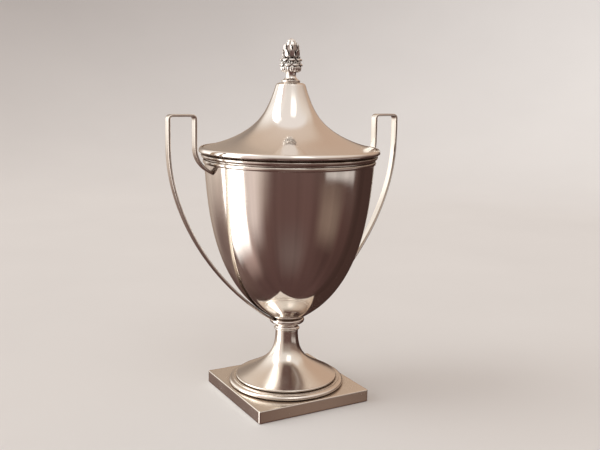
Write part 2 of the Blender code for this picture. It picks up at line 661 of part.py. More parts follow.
def main():
    for stale in list(bpy.data.objects):
        bpy.data.objects.remove(stale, do_unlink=True)
    cup = empty("cup", 0.0)
    make_plinth(cup)
    make_foot_ring(cup)
    make_foot_trumpet(cup)
    make_neck_band(cup)
    make_knop_ring(cup)
    make_bowl(cup)
    make_rim_beads(cup)
    make_handle(cup, "handle_left", -1)
    make_handle(cup, "handle_right", 1)
    make_tie_fasteners(cup)
    lid = empty("lid", LID_Z)
    make_lid_cover(lid)
    make_lid_edge_bead(lid)
    make_lid_bezel(lid)
    make_finial_stem(lid)
    make_finial_calyx(lid)
    make_finial_cone(lid)
    make_finial_fasteners(lid)


main()
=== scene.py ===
# %% [markdown]
# # Dressing a covered silver cup
# The solids of this two-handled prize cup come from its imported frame, and this lesson gives them their
# looks: spun and drawn silver, a chased pine cone, brass bolts, and a soft room for the polish to mirror.
# Each step says what the real piece is, how it could be made in Blender, and why it is made this way.
#
# The solids could be painted and left as they are, but a mirror finish shows every facet. So each piece
# is built again with finer curves, from outlines and sizes that are read out of the solids themselves.

# %% Load the frame
import json
import math

import bmesh
import bpy
import numpy as np
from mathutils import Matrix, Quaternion, Vector


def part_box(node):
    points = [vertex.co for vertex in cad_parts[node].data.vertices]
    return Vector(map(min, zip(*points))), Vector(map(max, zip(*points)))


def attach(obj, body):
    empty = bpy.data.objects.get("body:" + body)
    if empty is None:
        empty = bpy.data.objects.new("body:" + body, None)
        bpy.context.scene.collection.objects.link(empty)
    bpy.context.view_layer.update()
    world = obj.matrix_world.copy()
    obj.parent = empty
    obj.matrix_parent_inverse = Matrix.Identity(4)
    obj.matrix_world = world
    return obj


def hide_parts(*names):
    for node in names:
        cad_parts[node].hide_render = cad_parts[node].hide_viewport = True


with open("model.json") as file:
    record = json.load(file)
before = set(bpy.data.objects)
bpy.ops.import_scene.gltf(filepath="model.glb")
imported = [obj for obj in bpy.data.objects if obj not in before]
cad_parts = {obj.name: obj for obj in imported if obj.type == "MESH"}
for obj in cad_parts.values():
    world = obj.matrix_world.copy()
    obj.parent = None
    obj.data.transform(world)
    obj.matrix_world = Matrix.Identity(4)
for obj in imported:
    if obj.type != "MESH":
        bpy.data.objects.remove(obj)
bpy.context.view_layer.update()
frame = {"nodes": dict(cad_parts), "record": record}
scene = bpy.context.scene

# %% [markdown]
# ## Camera
# The photograph is taken from the front left, a little above the mouth of the cup, and the camera leans
# by a degree. A camera could be aimed at the cup with a constraint. Here its place, aim and roll are
# plain values, because they were found by laying the plinth's corners and the rims over the photograph.

# %% Camera
CAMERA_PLACE = Vector((-0.2495, -0.4543, 0.2113))
CAMERA_AIM = Vector((0.48666, 0.85544, -0.17715))
CAMERA_ROLL = math.radians(1.083)
LENS_MM = 47.0
SENSOR_MM = 36.0

camera = bpy.data.objects.new("camera", bpy.data.cameras.new("camera"))
camera.location = CAMERA_PLACE
camera.rotation_mode = "QUATERNION"
camera.rotation_quaternion = CAMERA_AIM.to_track_quat("-Z", "Y") @ Quaternion((0, 0, 1), CAMERA_ROLL)
camera.data.lens = LENS_MM
camera.data.sensor_width = SENSOR_MM
scene.collection.objects.link(camera)
scene.camera = camera
scene.view_settings.view_transform = "Standard"
print("camera is", round(1000 * CAMERA_PLACE.length), "mm from the foot of the cup")

# %% [markdown]
# ## Helpers for shader nodes
# Every finish below is a small tree of nodes. They could be wired in the editor by hand. One helper that
# adds a node, sets it and links it keeps each finish down to a few readable lines. The others are short
# names for the nodes that are used most: sums, ranges, noise, colour ramps and mixes.

# %% Node helpers


def add(tree, kind, inputs=None, **settings):
    """Add a shader node. A value in inputs is set, and another node's output is linked."""
    node = tree.nodes.new("ShaderNode" + kind)
    for name, value in settings.items():
        setattr(node, name, value)
    for socket, value in (inputs or {}).items():
        if isinstance(value, bpy.types.NodeSocket):
            tree.links.new(value, node.inputs[socket])
        else:
            node.inputs[socket].default_value = value
    return node


def calc(tree, operation, *values):
    """Work out one number from the values, in their order."""
    return add(tree, "Math", dict(enumerate(values)), operation=operation).outputs["Value"]


def span(tree, value, source, target=(0.0, 1.0), shape="LINEAR"):
    """Stretch a value from one range to another, and hold it at both ends."""
    ends = {"From Min": source[0], "From Max": source[1], "To Min": target[0], "To Max": target[1]}
    return add(tree, "MapRange", {"Value": value, **ends}, interpolation_type=shape).outputs["Result"]


def noise(tree, place, scale, detail, roughness=0.5):
    """Cloudy pattern between 0 and 1."""
    settings = {"Vector": place, "Scale": scale, "Detail": detail, "Roughness": roughness}
    return add(tree, "TexNoise", settings).outputs["Fac"]


def ramp(tree, factor, stops):
    """Colour ramp through (position, colour) stops."""
    node = add(tree, "ValToRGB", {"Fac": factor})
    elements = node.color_ramp.elements
    while len(elements) < len(stops):
        elements.new(1.0)
    for element, (position, colour) in zip(elements, stops):
        element.position = position
        element.color = (*colour, 1.0)
    return node.outputs["Color"]


def mix(tree, factor, under, over):
    """Lay one colour over another."""
    return add(tree, "Mix", {"Factor": factor, "A": under, "B": over}, data_type="RGBA").outputs["Result"]


print("node helpers are ready")

# %% [markdown]
# ## The room
# Polished silver has hardly a colour of its own: it shows the room. In the photograph the lid mirrors a
# pale ceiling and a tan wall, and the bowl, which looks down a little, mirrors what is low, dark and
# warm. An image of a room could be wrapped round the scene. Four colour ramps from floor to ceiling, one
# for each side of the room, are enough here. They blend into each other, so they stay soft from every
# angle.

# %% Room
FRONT = Vector((-CAMERA_AIM.x, -CAMERA_AIM.y, 0.0)).normalized()
LEFT = Vector((FRONT.y, -FRONT.x, 0.0))
FRONT_ROOM = [(0.00, (0.091, 0.040, 0.034)), (0.30, (0.126, 0.059, 0.049)), (0.46, (0.131, 0.067, 0.057)),
              (0.52, (0.270, 0.190, 0.158)), (0.68, (0.440, 0.365, 0.315)), (0.80, (0.860, 0.790, 0.740)),
              (1.00, (0.880, 0.800, 0.760))]
BACK_ROOM = [(0.00, (0.050, 0.023, 0.017)), (0.30, (0.101, 0.050, 0.040)), (0.41, (0.436, 0.327, 0.246)),
             (0.50, (0.450, 0.325, 0.232)), (0.70, (0.520, 0.388, 0.285)), (0.85, (0.640, 0.480, 0.365)),
             (1.00, (0.720, 0.570, 0.465))]
LEFT_ROOM = [(0.00, (0.084, 0.040, 0.033)), (0.26, (0.187, 0.099, 0.078)), (0.36, (0.540, 0.415, 0.343)),
             (0.50, (0.736, 0.627, 0.538)), (0.75, (1.078, 1.023, 0.976)), (1.00, (0.977, 0.923, 0.868))]
RIGHT_ROOM = [(0.00, (0.050, 0.021, 0.017)), (0.30, (0.091, 0.040, 0.032)), (0.46, (0.121, 0.070, 0.056)),
              (0.52, (0.240, 0.160, 0.127)), (0.60, (0.260, 0.165, 0.125)), (0.70, (0.620, 0.500, 0.420)),
              (0.80, (0.780, 0.660, 0.570)), (1.00, (0.866, 0.784, 0.702))]
FRONT_EDGE = (-0.25, -0.02)
LEFT_EDGE = (0.30, 0.78)
RIGHT_EDGE = (-0.40, -0.85)

scene.world = bpy.data.worlds.new("soft_room")
scene.world.use_nodes = True
room = scene.world.node_tree
room.nodes.clear()


def soft_step(value, edge, ends=(0.0, 1.0)):
    """First end before the edge and second end after it, with a soft step across it."""
    return span(room, value, edge, ends, "SMOOTHSTEP")


look = add(room, "TexCoord").outputs["Generated"]
upward = add(room, "SeparateXYZ", {0: look}).outputs["Z"]
frontward = add(room, "VectorMath", {0: look, 1: FRONT}, operation="DOT_PRODUCT").outputs["Value"]
leftward = add(room, "VectorMath", {0: look, 1: LEFT}, operation="DOT_PRODUCT").outputs["Value"]
level = span(room, upward, (-1.0, 1.0))
tone = ramp(room, level, BACK_ROOM)
for side, edge, colours in ((frontward, FRONT_EDGE, FRONT_ROOM), (leftward, LEFT_EDGE, LEFT_ROOM),
                            (leftward, RIGHT_EDGE, RIGHT_ROOM)):
    tone = mix(room, soft_step(side, edge), tone, ramp(room, level, colours))
print("room has", len(room.nodes), "nodes")

# %% [markdown]
# ## Window light
# A tall window on the left makes the long white stripe down the bowl, with a dimmer curtain and sill
# beside it. A lamp high on the right brightens the lid, a far window the straps, and a low door the right
# of the bowl. Other patches only make part of a wall darker, paler or warmer, for the shades on the foot,
# the plinth and the lid. Lamps in the scene would make hard rectangles: a mirror shows the shape of its
# lights, so they are painted into the room as patches with soft edges, each placed by its angles as seen
# from the cup.

# %% Window light
# Each patch has two bearings, two heights and a blur for each, in degrees, and a colour.
PATCHES = {
    "dark corner": ((-182.0, -106.0), (-92.0, 4.0), (8.0, 8.0), (0.055, 0.025, 0.019)),
    "amber wall": ((-176.0, -122.0), (10.0, 48.0), (12.0, 10.0), (0.560, 0.375, 0.260)),
    "grey corner": ((148.0, 170.0), (2.0, 31.0), (10.0, 8.0), (0.315, 0.244, 0.195)),
    "low haze": ((-26.0, 14.0), (-54.0, -32.0), (14.0, 12.0), (0.155, 0.097, 0.085)),
    "low shine": ((-78.0, -46.0), (-32.0, -15.0), (9.0, 7.0), (0.232, 0.147, 0.108)),
    "low shade": ((106.0, 142.0), (-40.0, -15.0), (8.0, 7.0), (0.180, 0.110, 0.090)),
    "sill": ((56.0, 88.0), (-48.0, -20.0), (8.0, 10.0), (0.430, 0.275, 0.235)),
    "far window": ((106.0, 139.0), (-4.0, 16.0), (7.0, 4.0), (1.320, 1.260, 1.190)),
    "curtain": ((42.0, 62.0), (-32.0, 40.0), (12.0, 10.0), (0.838, 0.675, 0.613)),
    "window": ((63.0, 100.0), (-31.0, 62.0), (3.0, 11.0), (3.155, 3.053, 2.917)),
    "high lamp": ((-38.0, -6.0), (41.0, 66.0), (7.0, 7.0), (1.870, 1.802, 1.721)),
    "side door": ((-98.0, -50.0), (-12.5, -5.0), (2.5, 2.0), (0.574, 0.506, 0.472)),
}

bearing = calc(room, "DEGREES", calc(room, "ARCTAN2", leftward, frontward))
elevation = calc(room, "DEGREES", calc(room, "ARCSINE", upward))


def within(value, limits, blur):
    """1 between the limits and 0 outside them, with blurred edges."""
    first, last = limits
    rising = soft_step(value, (first - blur, first + blur))
    falling = soft_step(value, (last - blur, last + blur), (1.0, 0.0))
    return calc(room, "MULTIPLY", rising, falling)


for bearings, heights, blur, colour in PATCHES.values():
    patch = calc(room, "MULTIPLY", within(bearing, bearings, blur[0]), within(elevation, heights, blur[1]))
    tone = mix(room, patch, tone, (*colour, 1.0))
print("room has", len(PATCHES), "patches")

# %% [markdown]
# ## Folds and tone
# Large plain walls make a mirror look empty, so faint upright folds run round the lower half of the room.
# A noise that depends on the bearing alone gives them, which needs no picture and no seam. All colours
# are then toned down a little, because silver with the full warmth of the room looks like bronze beside
# pale paper.

# %% Folds and tone
FOLD_SCALE = 4.0
FOLD_DETAIL = 2.0
FOLD_ROUGHNESS = 0.6
FOLD_RANGE = (0.3, 0.7)
FOLD_SHADE = 0.14
FOLD_TOP = (0.0, 25.0)
SATURATION = 0.86

flat_look = add(room, "CombineXYZ", {"X": frontward, "Y": leftward}).outputs["Vector"]
compass = add(room, "VectorMath", {0: flat_look}, operation="NORMALIZE").outputs["Vector"]
folds = noise(room, compass, FOLD_SCALE, FOLD_DETAIL, FOLD_ROUGHNESS)
shade = span(room, folds, FOLD_RANGE, (-FOLD_SHADE, FOLD_SHADE))
strength = calc(room, "MULTIPLY_ADD", shade, soft_step(elevation, FOLD_TOP, (1.0, 0.0)), 1.0)
tone = add(room, "VectorMath", {0: tone, "Scale": strength}, operation="SCALE").outputs["Vector"]
mild = add(room, "HueSaturation", {"Saturation": SATURATION, "Color": tone}).outputs["Color"]
light = add(room, "Background", {"Color": mild}).outputs["Background"]
add(room, "OutputWorld", {"Surface": light})
print("painted room has", len(room.nodes), "nodes")

# %% [markdown]
# ## Spinning
# Spinning sheet over a former is how the bowl, foot and lid are really made, and Blender's spin does the
# same to an outline. A screw modifier would do it too, but a finished mesh can be measured at once. The
# floor below is spun in the same way, from an outline that isn't closed.

# %% Spinning
SEGMENTS = 160
TOUCH = 1e-6


def neighbours(items, closed=True):
    """Pairs of items that follow each other; closed adds the last with the first."""
    return list(zip(items, items[1:])) + ([(items[-1], items[0])] if closed else [])


def turned(outline, segments=SEGMENTS, closed=True):
    """Spin an outline of radii and heights round the axis of the cup."""
    bm = bmesh.new()
    verts = [bm.verts.new((radius, 0.0, height)) for radius, height in outline]
    edges = [bm.edges.new(pair) for pair in neighbours(verts, closed)]
    bmesh.ops.spin(bm, geom=verts + edges, cent=(0, 0, 0), axis=(0, 0, 1), angle=math.tau,
                   steps=segments, use_merge=True)
    bmesh.ops.remove_doubles(bm, verts=bm.verts, dist=TOUCH)
    return bm


def finished(bm, name, material):
    """Make a smooth object of the bmesh, in its material."""
    bmesh.ops.recalc_face_normals(bm, faces=bm.faces)
    piece = bpy.data.objects.new(name, bpy.data.meshes.new(name))
    bm.to_mesh(piece.data)
    bm.free()
    piece.data.shade_smooth()
    piece.data.materials.append(material)
    scene.collection.objects.link(piece)
    print(name, "has", len(piece.data.polygons), "faces")
    return piece


print("spinning takes", SEGMENTS, "steps")

# %% [markdown]
# ## Paper
# The floor below is matt paper. One flat grey would do for a backdrop, but real paper is never quite
# even, so a slow noise moves its tone by two hundredths. It stays almost neutral, and all warmth comes
# from the light.

# %% Paper
PAPER_SCALE = 6.0
PAPER_DETAIL = 3.0
PAPER_TONES = [(0.3, (0.725, 0.730, 0.735)), (0.7, (0.745, 0.750, 0.755))]
PAPER_ROUGHNESS = 0.9

paper = bpy.data.materials.new("floor_paper")
paper.use_nodes = True
paper_tree = paper.node_tree
paper_shader = paper_tree.nodes["Principled BSDF"]
mottle = noise(paper_tree, add(paper_tree, "TexCoord").outputs["Object"], PAPER_SCALE, PAPER_DETAIL)
paper_tree.links.new(ramp(paper_tree, mottle, PAPER_TONES), paper_shader.inputs["Base Color"])
paper_shader.inputs["Roughness"].default_value = PAPER_ROUGHNESS
print("paper has", len(PAPER_TONES), "tones")

# %% [markdown]
# ## Floor
# The cup stands on a plain pale floor that curves up into a wall all round, as a photographer's paper
# sweep does. A plane would show a hard horizon. The sweep is one outline spun round the axis of the cup.
# It is hidden from mirror rays, so the silver shows the warm room and not the bright paper.

# %% Floor
FLOOR_FLAT = 0.9
FLOOR_WALL = 1.7
FLOOR_TOP = 2.4
FLOOR_GAP = 0.0001
SWEEP_STEPS = 24
FLOOR_SEGMENTS = 64

sweep = [(0.0, -FLOOR_GAP)]
sweep_radius = FLOOR_WALL - FLOOR_FLAT
for step in range(SWEEP_STEPS + 1):
    angle = math.pi / 2 * step / SWEEP_STEPS
    sweep.append((FLOOR_FLAT + sweep_radius * math.sin(angle),
                  sweep_radius * (1 - math.cos(angle)) - FLOOR_GAP))
sweep.append((FLOOR_WALL, FLOOR_TOP))
floor = finished(turned(sweep, FLOOR_SEGMENTS, closed=False), "floor", paper)
floor.visible_glossy = False
floor.visible_diffuse = False
floor.visible_shadow = False

# %% [markdown]
# ## Wiping marks
# Silver that is in use is wiped with a cloth, and the cloth leaves fine strokes: round and round on a
# spun piece, straight on a flat one. Scratches could be modelled one by one. A fine noise that is
# stretched along the strokes looks the same, and it serves both as a shallow bump and as a change of
# gloss.

# %% Wiping marks
STROKE_SCALE = 1400.0
STROKE_DETAIL = 3.0
STROKE_ROUGHNESS = 0.7
STROKE_SWING = 0.004
STROKE_STRETCH = 14.0
GRAINS = {"upright": (0.0, math.pi / 2, 0.0), "level": (0.0, 0.0, math.pi / 4)}


def wiping_marks(tree, place, grain):
    """Strokes that run round the axis, or straight along the grain's direction."""
    if grain == "round":
        axes = add(tree, "SeparateXYZ", {0: place}).outputs
        flat = add(tree, "CombineXYZ", {"X": axes["X"], "Y": axes["Y"]}).outputs["Vector"]
        radius = add(tree, "VectorMath", {0: flat}, operation="LENGTH").outputs["Value"]
        swing = calc(tree, "MULTIPLY", calc(tree, "ARCTAN2", axes["Y"], axes["X"]), STROKE_SWING)
        strokes = add(tree, "CombineXYZ", {"X": radius, "Y": swing, "Z": axes["Z"]}).outputs["Vector"]
    else:
        stretch = {"Vector": place, "Rotation": GRAINS[grain], "Scale": (STROKE_STRETCH, 1.0, 1.0)}
        strokes = add(tree, "Mapping", stretch, vector_type="TEXTURE").outputs["Vector"]
    return noise(tree, strokes, STROKE_SCALE, STROKE_DETAIL, STROKE_ROUGHNESS)


print("wiping marks run round, or", " or ".join(GRAINS))

# %% [markdown]
# ## Tarnish and painted shade
# A brown tarnish stays in the corners where the cloth can't reach. It could be painted on by hand, but
# then every change of shape would need new paint. Here it follows ambient occlusion, so it settles in
# real corners, and a spotty noise keeps its edge ragged. The same darkening is also painted shade: it
# darkens the colour in creases, corners and the gaps between parts, where shade falls.

# %% Tarnish and painted shade
SPOT_SCALE = 110.0
SPOT_DETAIL = 5.0
SPOT_SHARE = 0.5
OPENNESS = (0.55, 1.15)
CORNER_SAMPLES = 8


def corner_tarnish_and_shade(tree, place, dull, reach):
    """Share of tarnish and painted shade: dull in the deepest corners, none where it is open all round."""
    corner = add(tree, "AmbientOcclusion", {"Distance": reach}, samples=CORNER_SAMPLES).outputs["AO"]
    spots = noise(tree, place, SPOT_SCALE, SPOT_DETAIL)
    return span(tree, calc(tree, "MULTIPLY_ADD", spots, SPOT_SHARE, corner), OPENNESS, (dull, 0.0))


print("tarnish is ready")

# %% [markdown]
# ## Polished metal
# The cup is polished silver, warm from its alloy and from years of handling. A plain metal shader would
# look like computer chrome. To the wiping marks and the tarnish, whose darkening also paints shade into
# corners, this finish adds a slow wobble from the spinning and polishing, a haze of smears that changes
# how sharp the mirror is, and a thin dull film over it all, which is the shader's coat.

# %% Polished metal
# Brown for the corners: real tarnish, and painted shade where shade falls.
TARNISH_AND_SHADE = (0.30, 0.20, 0.13)
FILM = 0.35
FILM_ROUGHNESS = 0.45
SMEAR_SCALE = 38.0
SMEAR_DETAIL = 4.0
SMEAR_ROUGHNESS = 0.6
SMEAR_RANGE = (0.35, 0.70)
STROKE_RANGE = (0.55, 0.75)
STROKE_SHARE = 0.6
CORNER_ROUGHNESS = 0.35
WAVE_SCALE = 30.0
WAVE_DETAIL = 1.0


def metal(name, colour, dull, haze, wobble, marks, reach, tarnish=TARNISH_AND_SHADE, grain="round"):
    """Polished metal.

    haze is the lowest and highest roughness, wobble and marks are depths in metres, and reach is how far
    tarnish and painted shade spread out of a corner; dull is their share in the deepest corners, and the
    tarnish argument is their colour.
    """
    material = bpy.data.materials.new(name)
    material.use_nodes = True
    tree = material.node_tree
    place = add(tree, "TexCoord").outputs["Object"]
    strokes = wiping_marks(tree, place, grain)
    tarnish_and_shade_share = corner_tarnish_and_shade(tree, place, dull, reach)
    smears = span(tree, noise(tree, place, SMEAR_SCALE, SMEAR_DETAIL, SMEAR_ROUGHNESS), SMEAR_RANGE, haze)
    scuffs = span(tree, strokes, STROKE_RANGE, (0.0, haze[1] * STROKE_SHARE))
    rough = calc(tree, "MULTIPLY_ADD", tarnish_and_shade_share, CORNER_ROUGHNESS, calc(tree, "ADD", smears, scuffs))
    slow = noise(tree, place, WAVE_SCALE, WAVE_DETAIL)
    waves = add(tree, "Bump", {"Height": slow, "Distance": wobble, "Strength": 1.0}).outputs["Normal"]
    scratches = {"Height": strokes, "Distance": marks, "Strength": 1.0, "Normal": waves}

    shader = tree.nodes["Principled BSDF"]
    shader.inputs["Metallic"].default_value = 1.0
    shader.inputs["Coat Weight"].default_value = FILM
    shader.inputs["Coat Roughness"].default_value = FILM_ROUGHNESS
    # The base colour turns to the corner colour where the mask is: real tarnish, and painted shade in
    # corners.
    tree.links.new(mix(tree, tarnish_and_shade_share, (*colour, 1.0), (*tarnish, 1.0)), shader.inputs["Base Color"])
    tree.links.new(rough, shader.inputs["Roughness"])
    tree.links.new(add(tree, "Bump", scratches).outputs["Normal"], shader.inputs["Normal"])
    return material


print("polished metal is ready")

# %% [markdown]
# ## Silver
# Not all silver on the cup is alike. The bowl and lid are brightest. The foot and plinth are worn by hands
# and tables, which makes them rougher, and their darker, warmer colour is painted shade. The rims get a
# dark painted shade with a little tarnish beside their wires, under the edge of the lid, and the straps are
# sharp mirrors with dark ends, painted shade and tarnish where they meet the bowl. One silver for all would
# look like plastic. The same recipe with other depths and colours gives each piece its own.

# %% Silver
SILVER = (0.90, 0.86, 0.81)
# A darker, warmer copy of the silver: painted shade for the foot and plinth, also used for rims and straps.
SHADED_SILVER = (0.88, 0.83, 0.76)
# Dark brown for the rims and the strap ends: painted shade, with a little tarnish.
RIM_SHADE_AND_TARNISH = (0.15, 0.095, 0.065)

spun_silver = metal("spun_silver", SILVER, dull=0.5, haze=(0.03, 0.13), wobble=0.00022,
                    marks=0.0000020, reach=0.002)
# The foot's silver is rougher from wear, and its darker colour is painted shade; the plinth shares that
# colour.
worn_and_shaded_silver = metal("worn_and_shaded_silver", SHADED_SILVER, dull=0.75, haze=(0.13, 0.21), wobble=0.00014,
                    marks=0.0000008, reach=0.004)
sheet_silver = metal("sheet_silver", SHADED_SILVER, dull=0.75, haze=(0.14, 0.22), wobble=0.00010,
                     marks=0.0000006, reach=0.009, grain="level")
wire_silver = metal("wire_silver", SILVER, dull=0.85, haze=(0.04, 0.12), wobble=0.00006,
                    marks=0.0000015, reach=0.003)
# The rim and girdle wires darken beside their wires: painted shade under the lid's edge, with a little
# tarnish.
rim_silver = metal("rim_silver", SHADED_SILVER, dull=2.2, haze=(0.06, 0.14), wobble=0.00006,
                   marks=0.0000015, reach=0.006, tarnish=RIM_SHADE_AND_TARNISH)
# The straps darken towards their ends and inner bends: painted shade where they meet the bowl, with some
# tarnish.
strap_silver = metal("strap_silver", SHADED_SILVER, dull=1.5, haze=(0.03, 0.10), wobble=0.00010,
                     marks=0.0000015, reach=0.006, tarnish=RIM_SHADE_AND_TARNISH, grain="upright")
silvers = (spun_silver, worn_and_shaded_silver, sheet_silver, wire_silver, rim_silver, strap_silver)
print("silver finishes:", [silver.name for silver in silvers])

# %% [markdown]
# ## Reading an outline from a solid
# A spun piece is one outline turned round an axis. The outlines could be typed in again, but then they
# could drift from the solids. Each solid is cut along its own seam instead: the edges that lie in the
# half plane to the right of the axis, walked in order, give its outline as radius and height.

# %% Outline reader


def welded(node):
    """Mesh of a solid with its doubled points merged."""
    bm = bmesh.new()
    bm.from_mesh(frame["nodes"][node].data)
    bmesh.ops.remove_doubles(bm, verts=bm.verts, dist=TOUCH)
    return bm


def meridian(node):
    """Closed outline of a turned solid as radius and height, from its lowest inner point outwards."""
    bm = welded(node)
    seam = [vert for vert in bm.verts if abs(vert.co.y) < TOUCH and vert.co.x > TOUCH]
    on_seam = set(seam)
    beside = {vert: [edge.other_vert(vert) for edge in vert.link_edges if edge.other_vert(vert) in on_seam]
              for vert in seam}
    here = min(seam, key=lambda vert: (round(vert.co.z, 6), vert.co.x))
    follow = max(beside[here], key=lambda vert: vert.co.x)
    walk = [here]
    while follow is not walk[0]:
        walk.append(follow)
        follow = next(vert for vert in beside[follow] if vert is not walk[-2])
    outline = np.array([(vert.co.x, vert.co.z) for vert in walk])
    bm.free()
    return outline


print("outline of the bowl has", len(meridian("bowl")), "points")

# %% [markdown]
# ## Fairing a curve
# A silversmith trues a curve until light runs along it without a break. The solids have a point every few
# millimetres, so a smooth line has to go through them. Short straight pieces with smooth shading would
# still show as bands in a mirror. A cubic spline bends evenly through all its points, so it is used.

# %% Fairing
FAIR_STEP = 0.0009


def fair(points, step=FAIR_STEP):
    """Cubic spline through the points, or a simpler curve through two or three, with a point every step."""
    points = np.asarray(points, float)
    along = np.concatenate([[0.0], np.cumsum(np.linalg.norm(np.diff(points, axis=0), axis=1))])
    count = max(2, round(along[-1] / step) + 1)
    wanted = np.linspace(0.0, along[-1], count)
    size = len(points)
    if size < 4:
        return np.stack([np.polyval(np.polyfit(along, axis, size - 1), wanted) for axis in points.T], axis=1)
    gap = np.diff(along)
    system = np.zeros((size, size))
    target = np.zeros((size, points.shape[1]))
    system[0, :3] = gap[1], -(gap[0] + gap[1]), gap[0]
    system[-1, -3:] = gap[-1], -(gap[-2] + gap[-1]), gap[-2]
    slope = np.diff(points, axis=0) / gap[:, None]
    for row in range(1, size - 1):
        system[row, row - 1:row + 2] = gap[row - 1], 2 * (gap[row - 1] + gap[row]), gap[row]
        target[row] = 6 * (slope[row] - slope[row - 1])
    bend = np.linalg.solve(system, target)
    left = np.clip(np.searchsorted(along, wanted, side="right") - 1, 0, size - 2)
    here = gap[left][:, None]
    ahead = (along[left + 1] - wanted)[:, None]
    behind = (wanted - along[left])[:, None]
    return (bend[left] * ahead ** 3 / (6 * here) + bend[left + 1] * behind ** 3 / (6 * here)
            + (points[left] / here - bend[left] * here / 6) * ahead
            + (points[left + 1] / here - bend[left + 1] * here / 6) * behind)


print("a faired line has a point about every", 1000 * FAIR_STEP, "mm")

# %% [markdown]
# ## Finding the corners
# A spline may not run round a sharp corner, or it swings out on both sides of it. So each outline is
# split at its corners first. They could be marked by hand on every piece. Measuring the turn at each
# point finds them all, because the curves turn by a few degrees at a time and the corners by far more.

# %% Corners
CREASE = math.radians(25)


def runs(outline):
    """Split a closed outline at its corners into smooth runs, each from corner to corner."""
    step_in = outline - np.roll(outline, 1, axis=0)
    step_out = np.roll(outline, -1, axis=0) - outline
    turn = np.arctan2(step_out[:, 1], step_out[:, 0]) - np.arctan2(step_in[:, 1], step_in[:, 0])
    turn = np.abs((turn + math.pi) % math.tau - math.pi)
    corners = [index for index in range(len(outline)) if turn[index] > CREASE]
    ends = corners[1:] + [corners[0] + len(outline)]
    return [outline[np.arange(first, last + 1) % len(outline)] for first, last in zip(corners, ends)]


print("the bowl's outline has", len(runs(meridian("bowl"))), "smooth runs")

# %% [markdown]
# ## Easing the corners
# No real edge is perfectly sharp: polishing leaves a small round, and that round is what catches the
# light. A bevel modifier could do it after spinning. It is simpler to round the corners of the outline
# before it is spun. Each long flat also gets a point close to its ends, so that smooth shading leaves it
# flat.

# %% Easing
EDGE = 0.00018
EASE_STEPS = 4
LONG_FLAT_RADII = 6
FLAT_END_RADII = 2.5


def eased(lines, radius=EDGE):
    """Join smooth lines, end to end, into one closed outline with its corners rounded."""
    outline = []
    for index, line in enumerate(lines):
        following = lines[(index + 1) % len(lines)]
        line = np.asarray(line, float)
        if len(line) == 2 and np.linalg.norm(line[1] - line[0]) > LONG_FLAT_RADII * radius:
            pull = (line[1] - line[0]) / np.linalg.norm(line[1] - line[0]) * FLAT_END_RADII * radius
            line = np.array([line[0], line[0] + pull, line[1] - pull, line[1]])
        corner = line[-1]
        back = line[-2] - corner
        ahead = np.asarray(following[1], float) - corner
        back_length = np.linalg.norm(back)
        ahead_length = np.linalg.norm(ahead)
        start = corner + back / back_length * min(radius, back_length / 2)
        end = corner + ahead / ahead_length * min(radius, ahead_length / 2)
        outline.extend(line[1:-1])
        for step in range(EASE_STEPS + 1):
            t = step / EASE_STEPS
            outline.append((1 - t) ** 2 * start + 2 * t * (1 - t) * corner + t ** 2 * end)
    return np.array(outline)


def smooth_outline(outline, step=FAIR_STEP, radius=EDGE):
    """Closed outline with its curves faired and its corners eased."""
    lines = [run if len(run) == 2 else fair(run, step) for run in runs(outline)]
    return eased(lines, radius)


print("eased outline of the bowl has", len(smooth_outline(meridian("bowl"))), "points")

# %% [markdown]
# ## A place for every piece
# The cup has two bodies, the cup itself and its lid. Every finished piece is set on its body, so that the
# lid's pieces lift with the lid, and it takes the place of the plain solid that it was read from. Bodies
# could be typed in for each piece. The record of the frame has them already, so they are looked up there.

# %% A place for every piece
BODY_OF = {node: body for body, nodes in frame["record"]["behaviour"]["bodies"].items() for node in nodes}


def set_in_place(bm, name, material, node):
    """Make a piece of the bmesh, ride it on its node's body and hide the plain node."""
    piece = finished(bm, name, material)
    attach(piece, BODY_OF[node])
    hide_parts(node)
    return piece


print("the frame has", len(BODY_OF), "nodes on the bodies", sorted(set(BODY_OF.values())))

# %% [markdown]
# ## Bowl
# The bowl is one sheet of silver, spun to the shape of an egg with its top cut off. A sphere could be
# scaled and cut, but its curve would be wrong. The outline read from the solid keeps the true curve, both
# walls and the flat seat, and a fine spin makes the mirror run smoothly round it.

# %% Bowl
set_in_place(turned(smooth_outline(meridian("bowl"))), "cup_bowl", spun_silver, "bowl")

# %% [markdown]
# ## Rim mouldings
# Two wires run round the mouth of the bowl and a third round the edge of the lid. They are drawn through
# a shaped hole, bent and soldered on, so each is half round with a flat back. In the solids they have few
# sides, so the half round is drawn again here, from the same back, front, bottom and top. Where its belly
# lies decides what it mirrors: low on the lid's wire, which then shows a broad white band. That wire also
# rises a little higher than in the solid, to follow the brim of the lid.

# %% Rim mouldings
ROUND_STEPS = 18
RIM_BELLY = 0.58
GIRDLE_BELLY = 0.5
LID_BELLY = 0.3
LID_WIRE_RISE = 0.0009


def half_round(points, belly=0.5, fullness=1.0):
    """Finer half round through the ends and the front of a coarse one, bottom to top.

    belly is how high its widest place lies, as a share of its height. A fullness below 1 squares it.
    """
    back = points[0][0]
    front = max(point[0] for point in points)
    bottom = points[0][1]
    top = points[-1][1]
    middle = bottom + belly * (top - bottom)
    curve = []
    for angle in np.linspace(0.0, math.pi, ROUND_STEPS + 1):
        end = bottom if angle < math.pi / 2 else top
        out = max(0.0, math.sin(angle)) ** fullness
        curve.append((back + (front - back) * out, middle + (end - middle) * abs(math.cos(angle))))
    return np.array(curve)


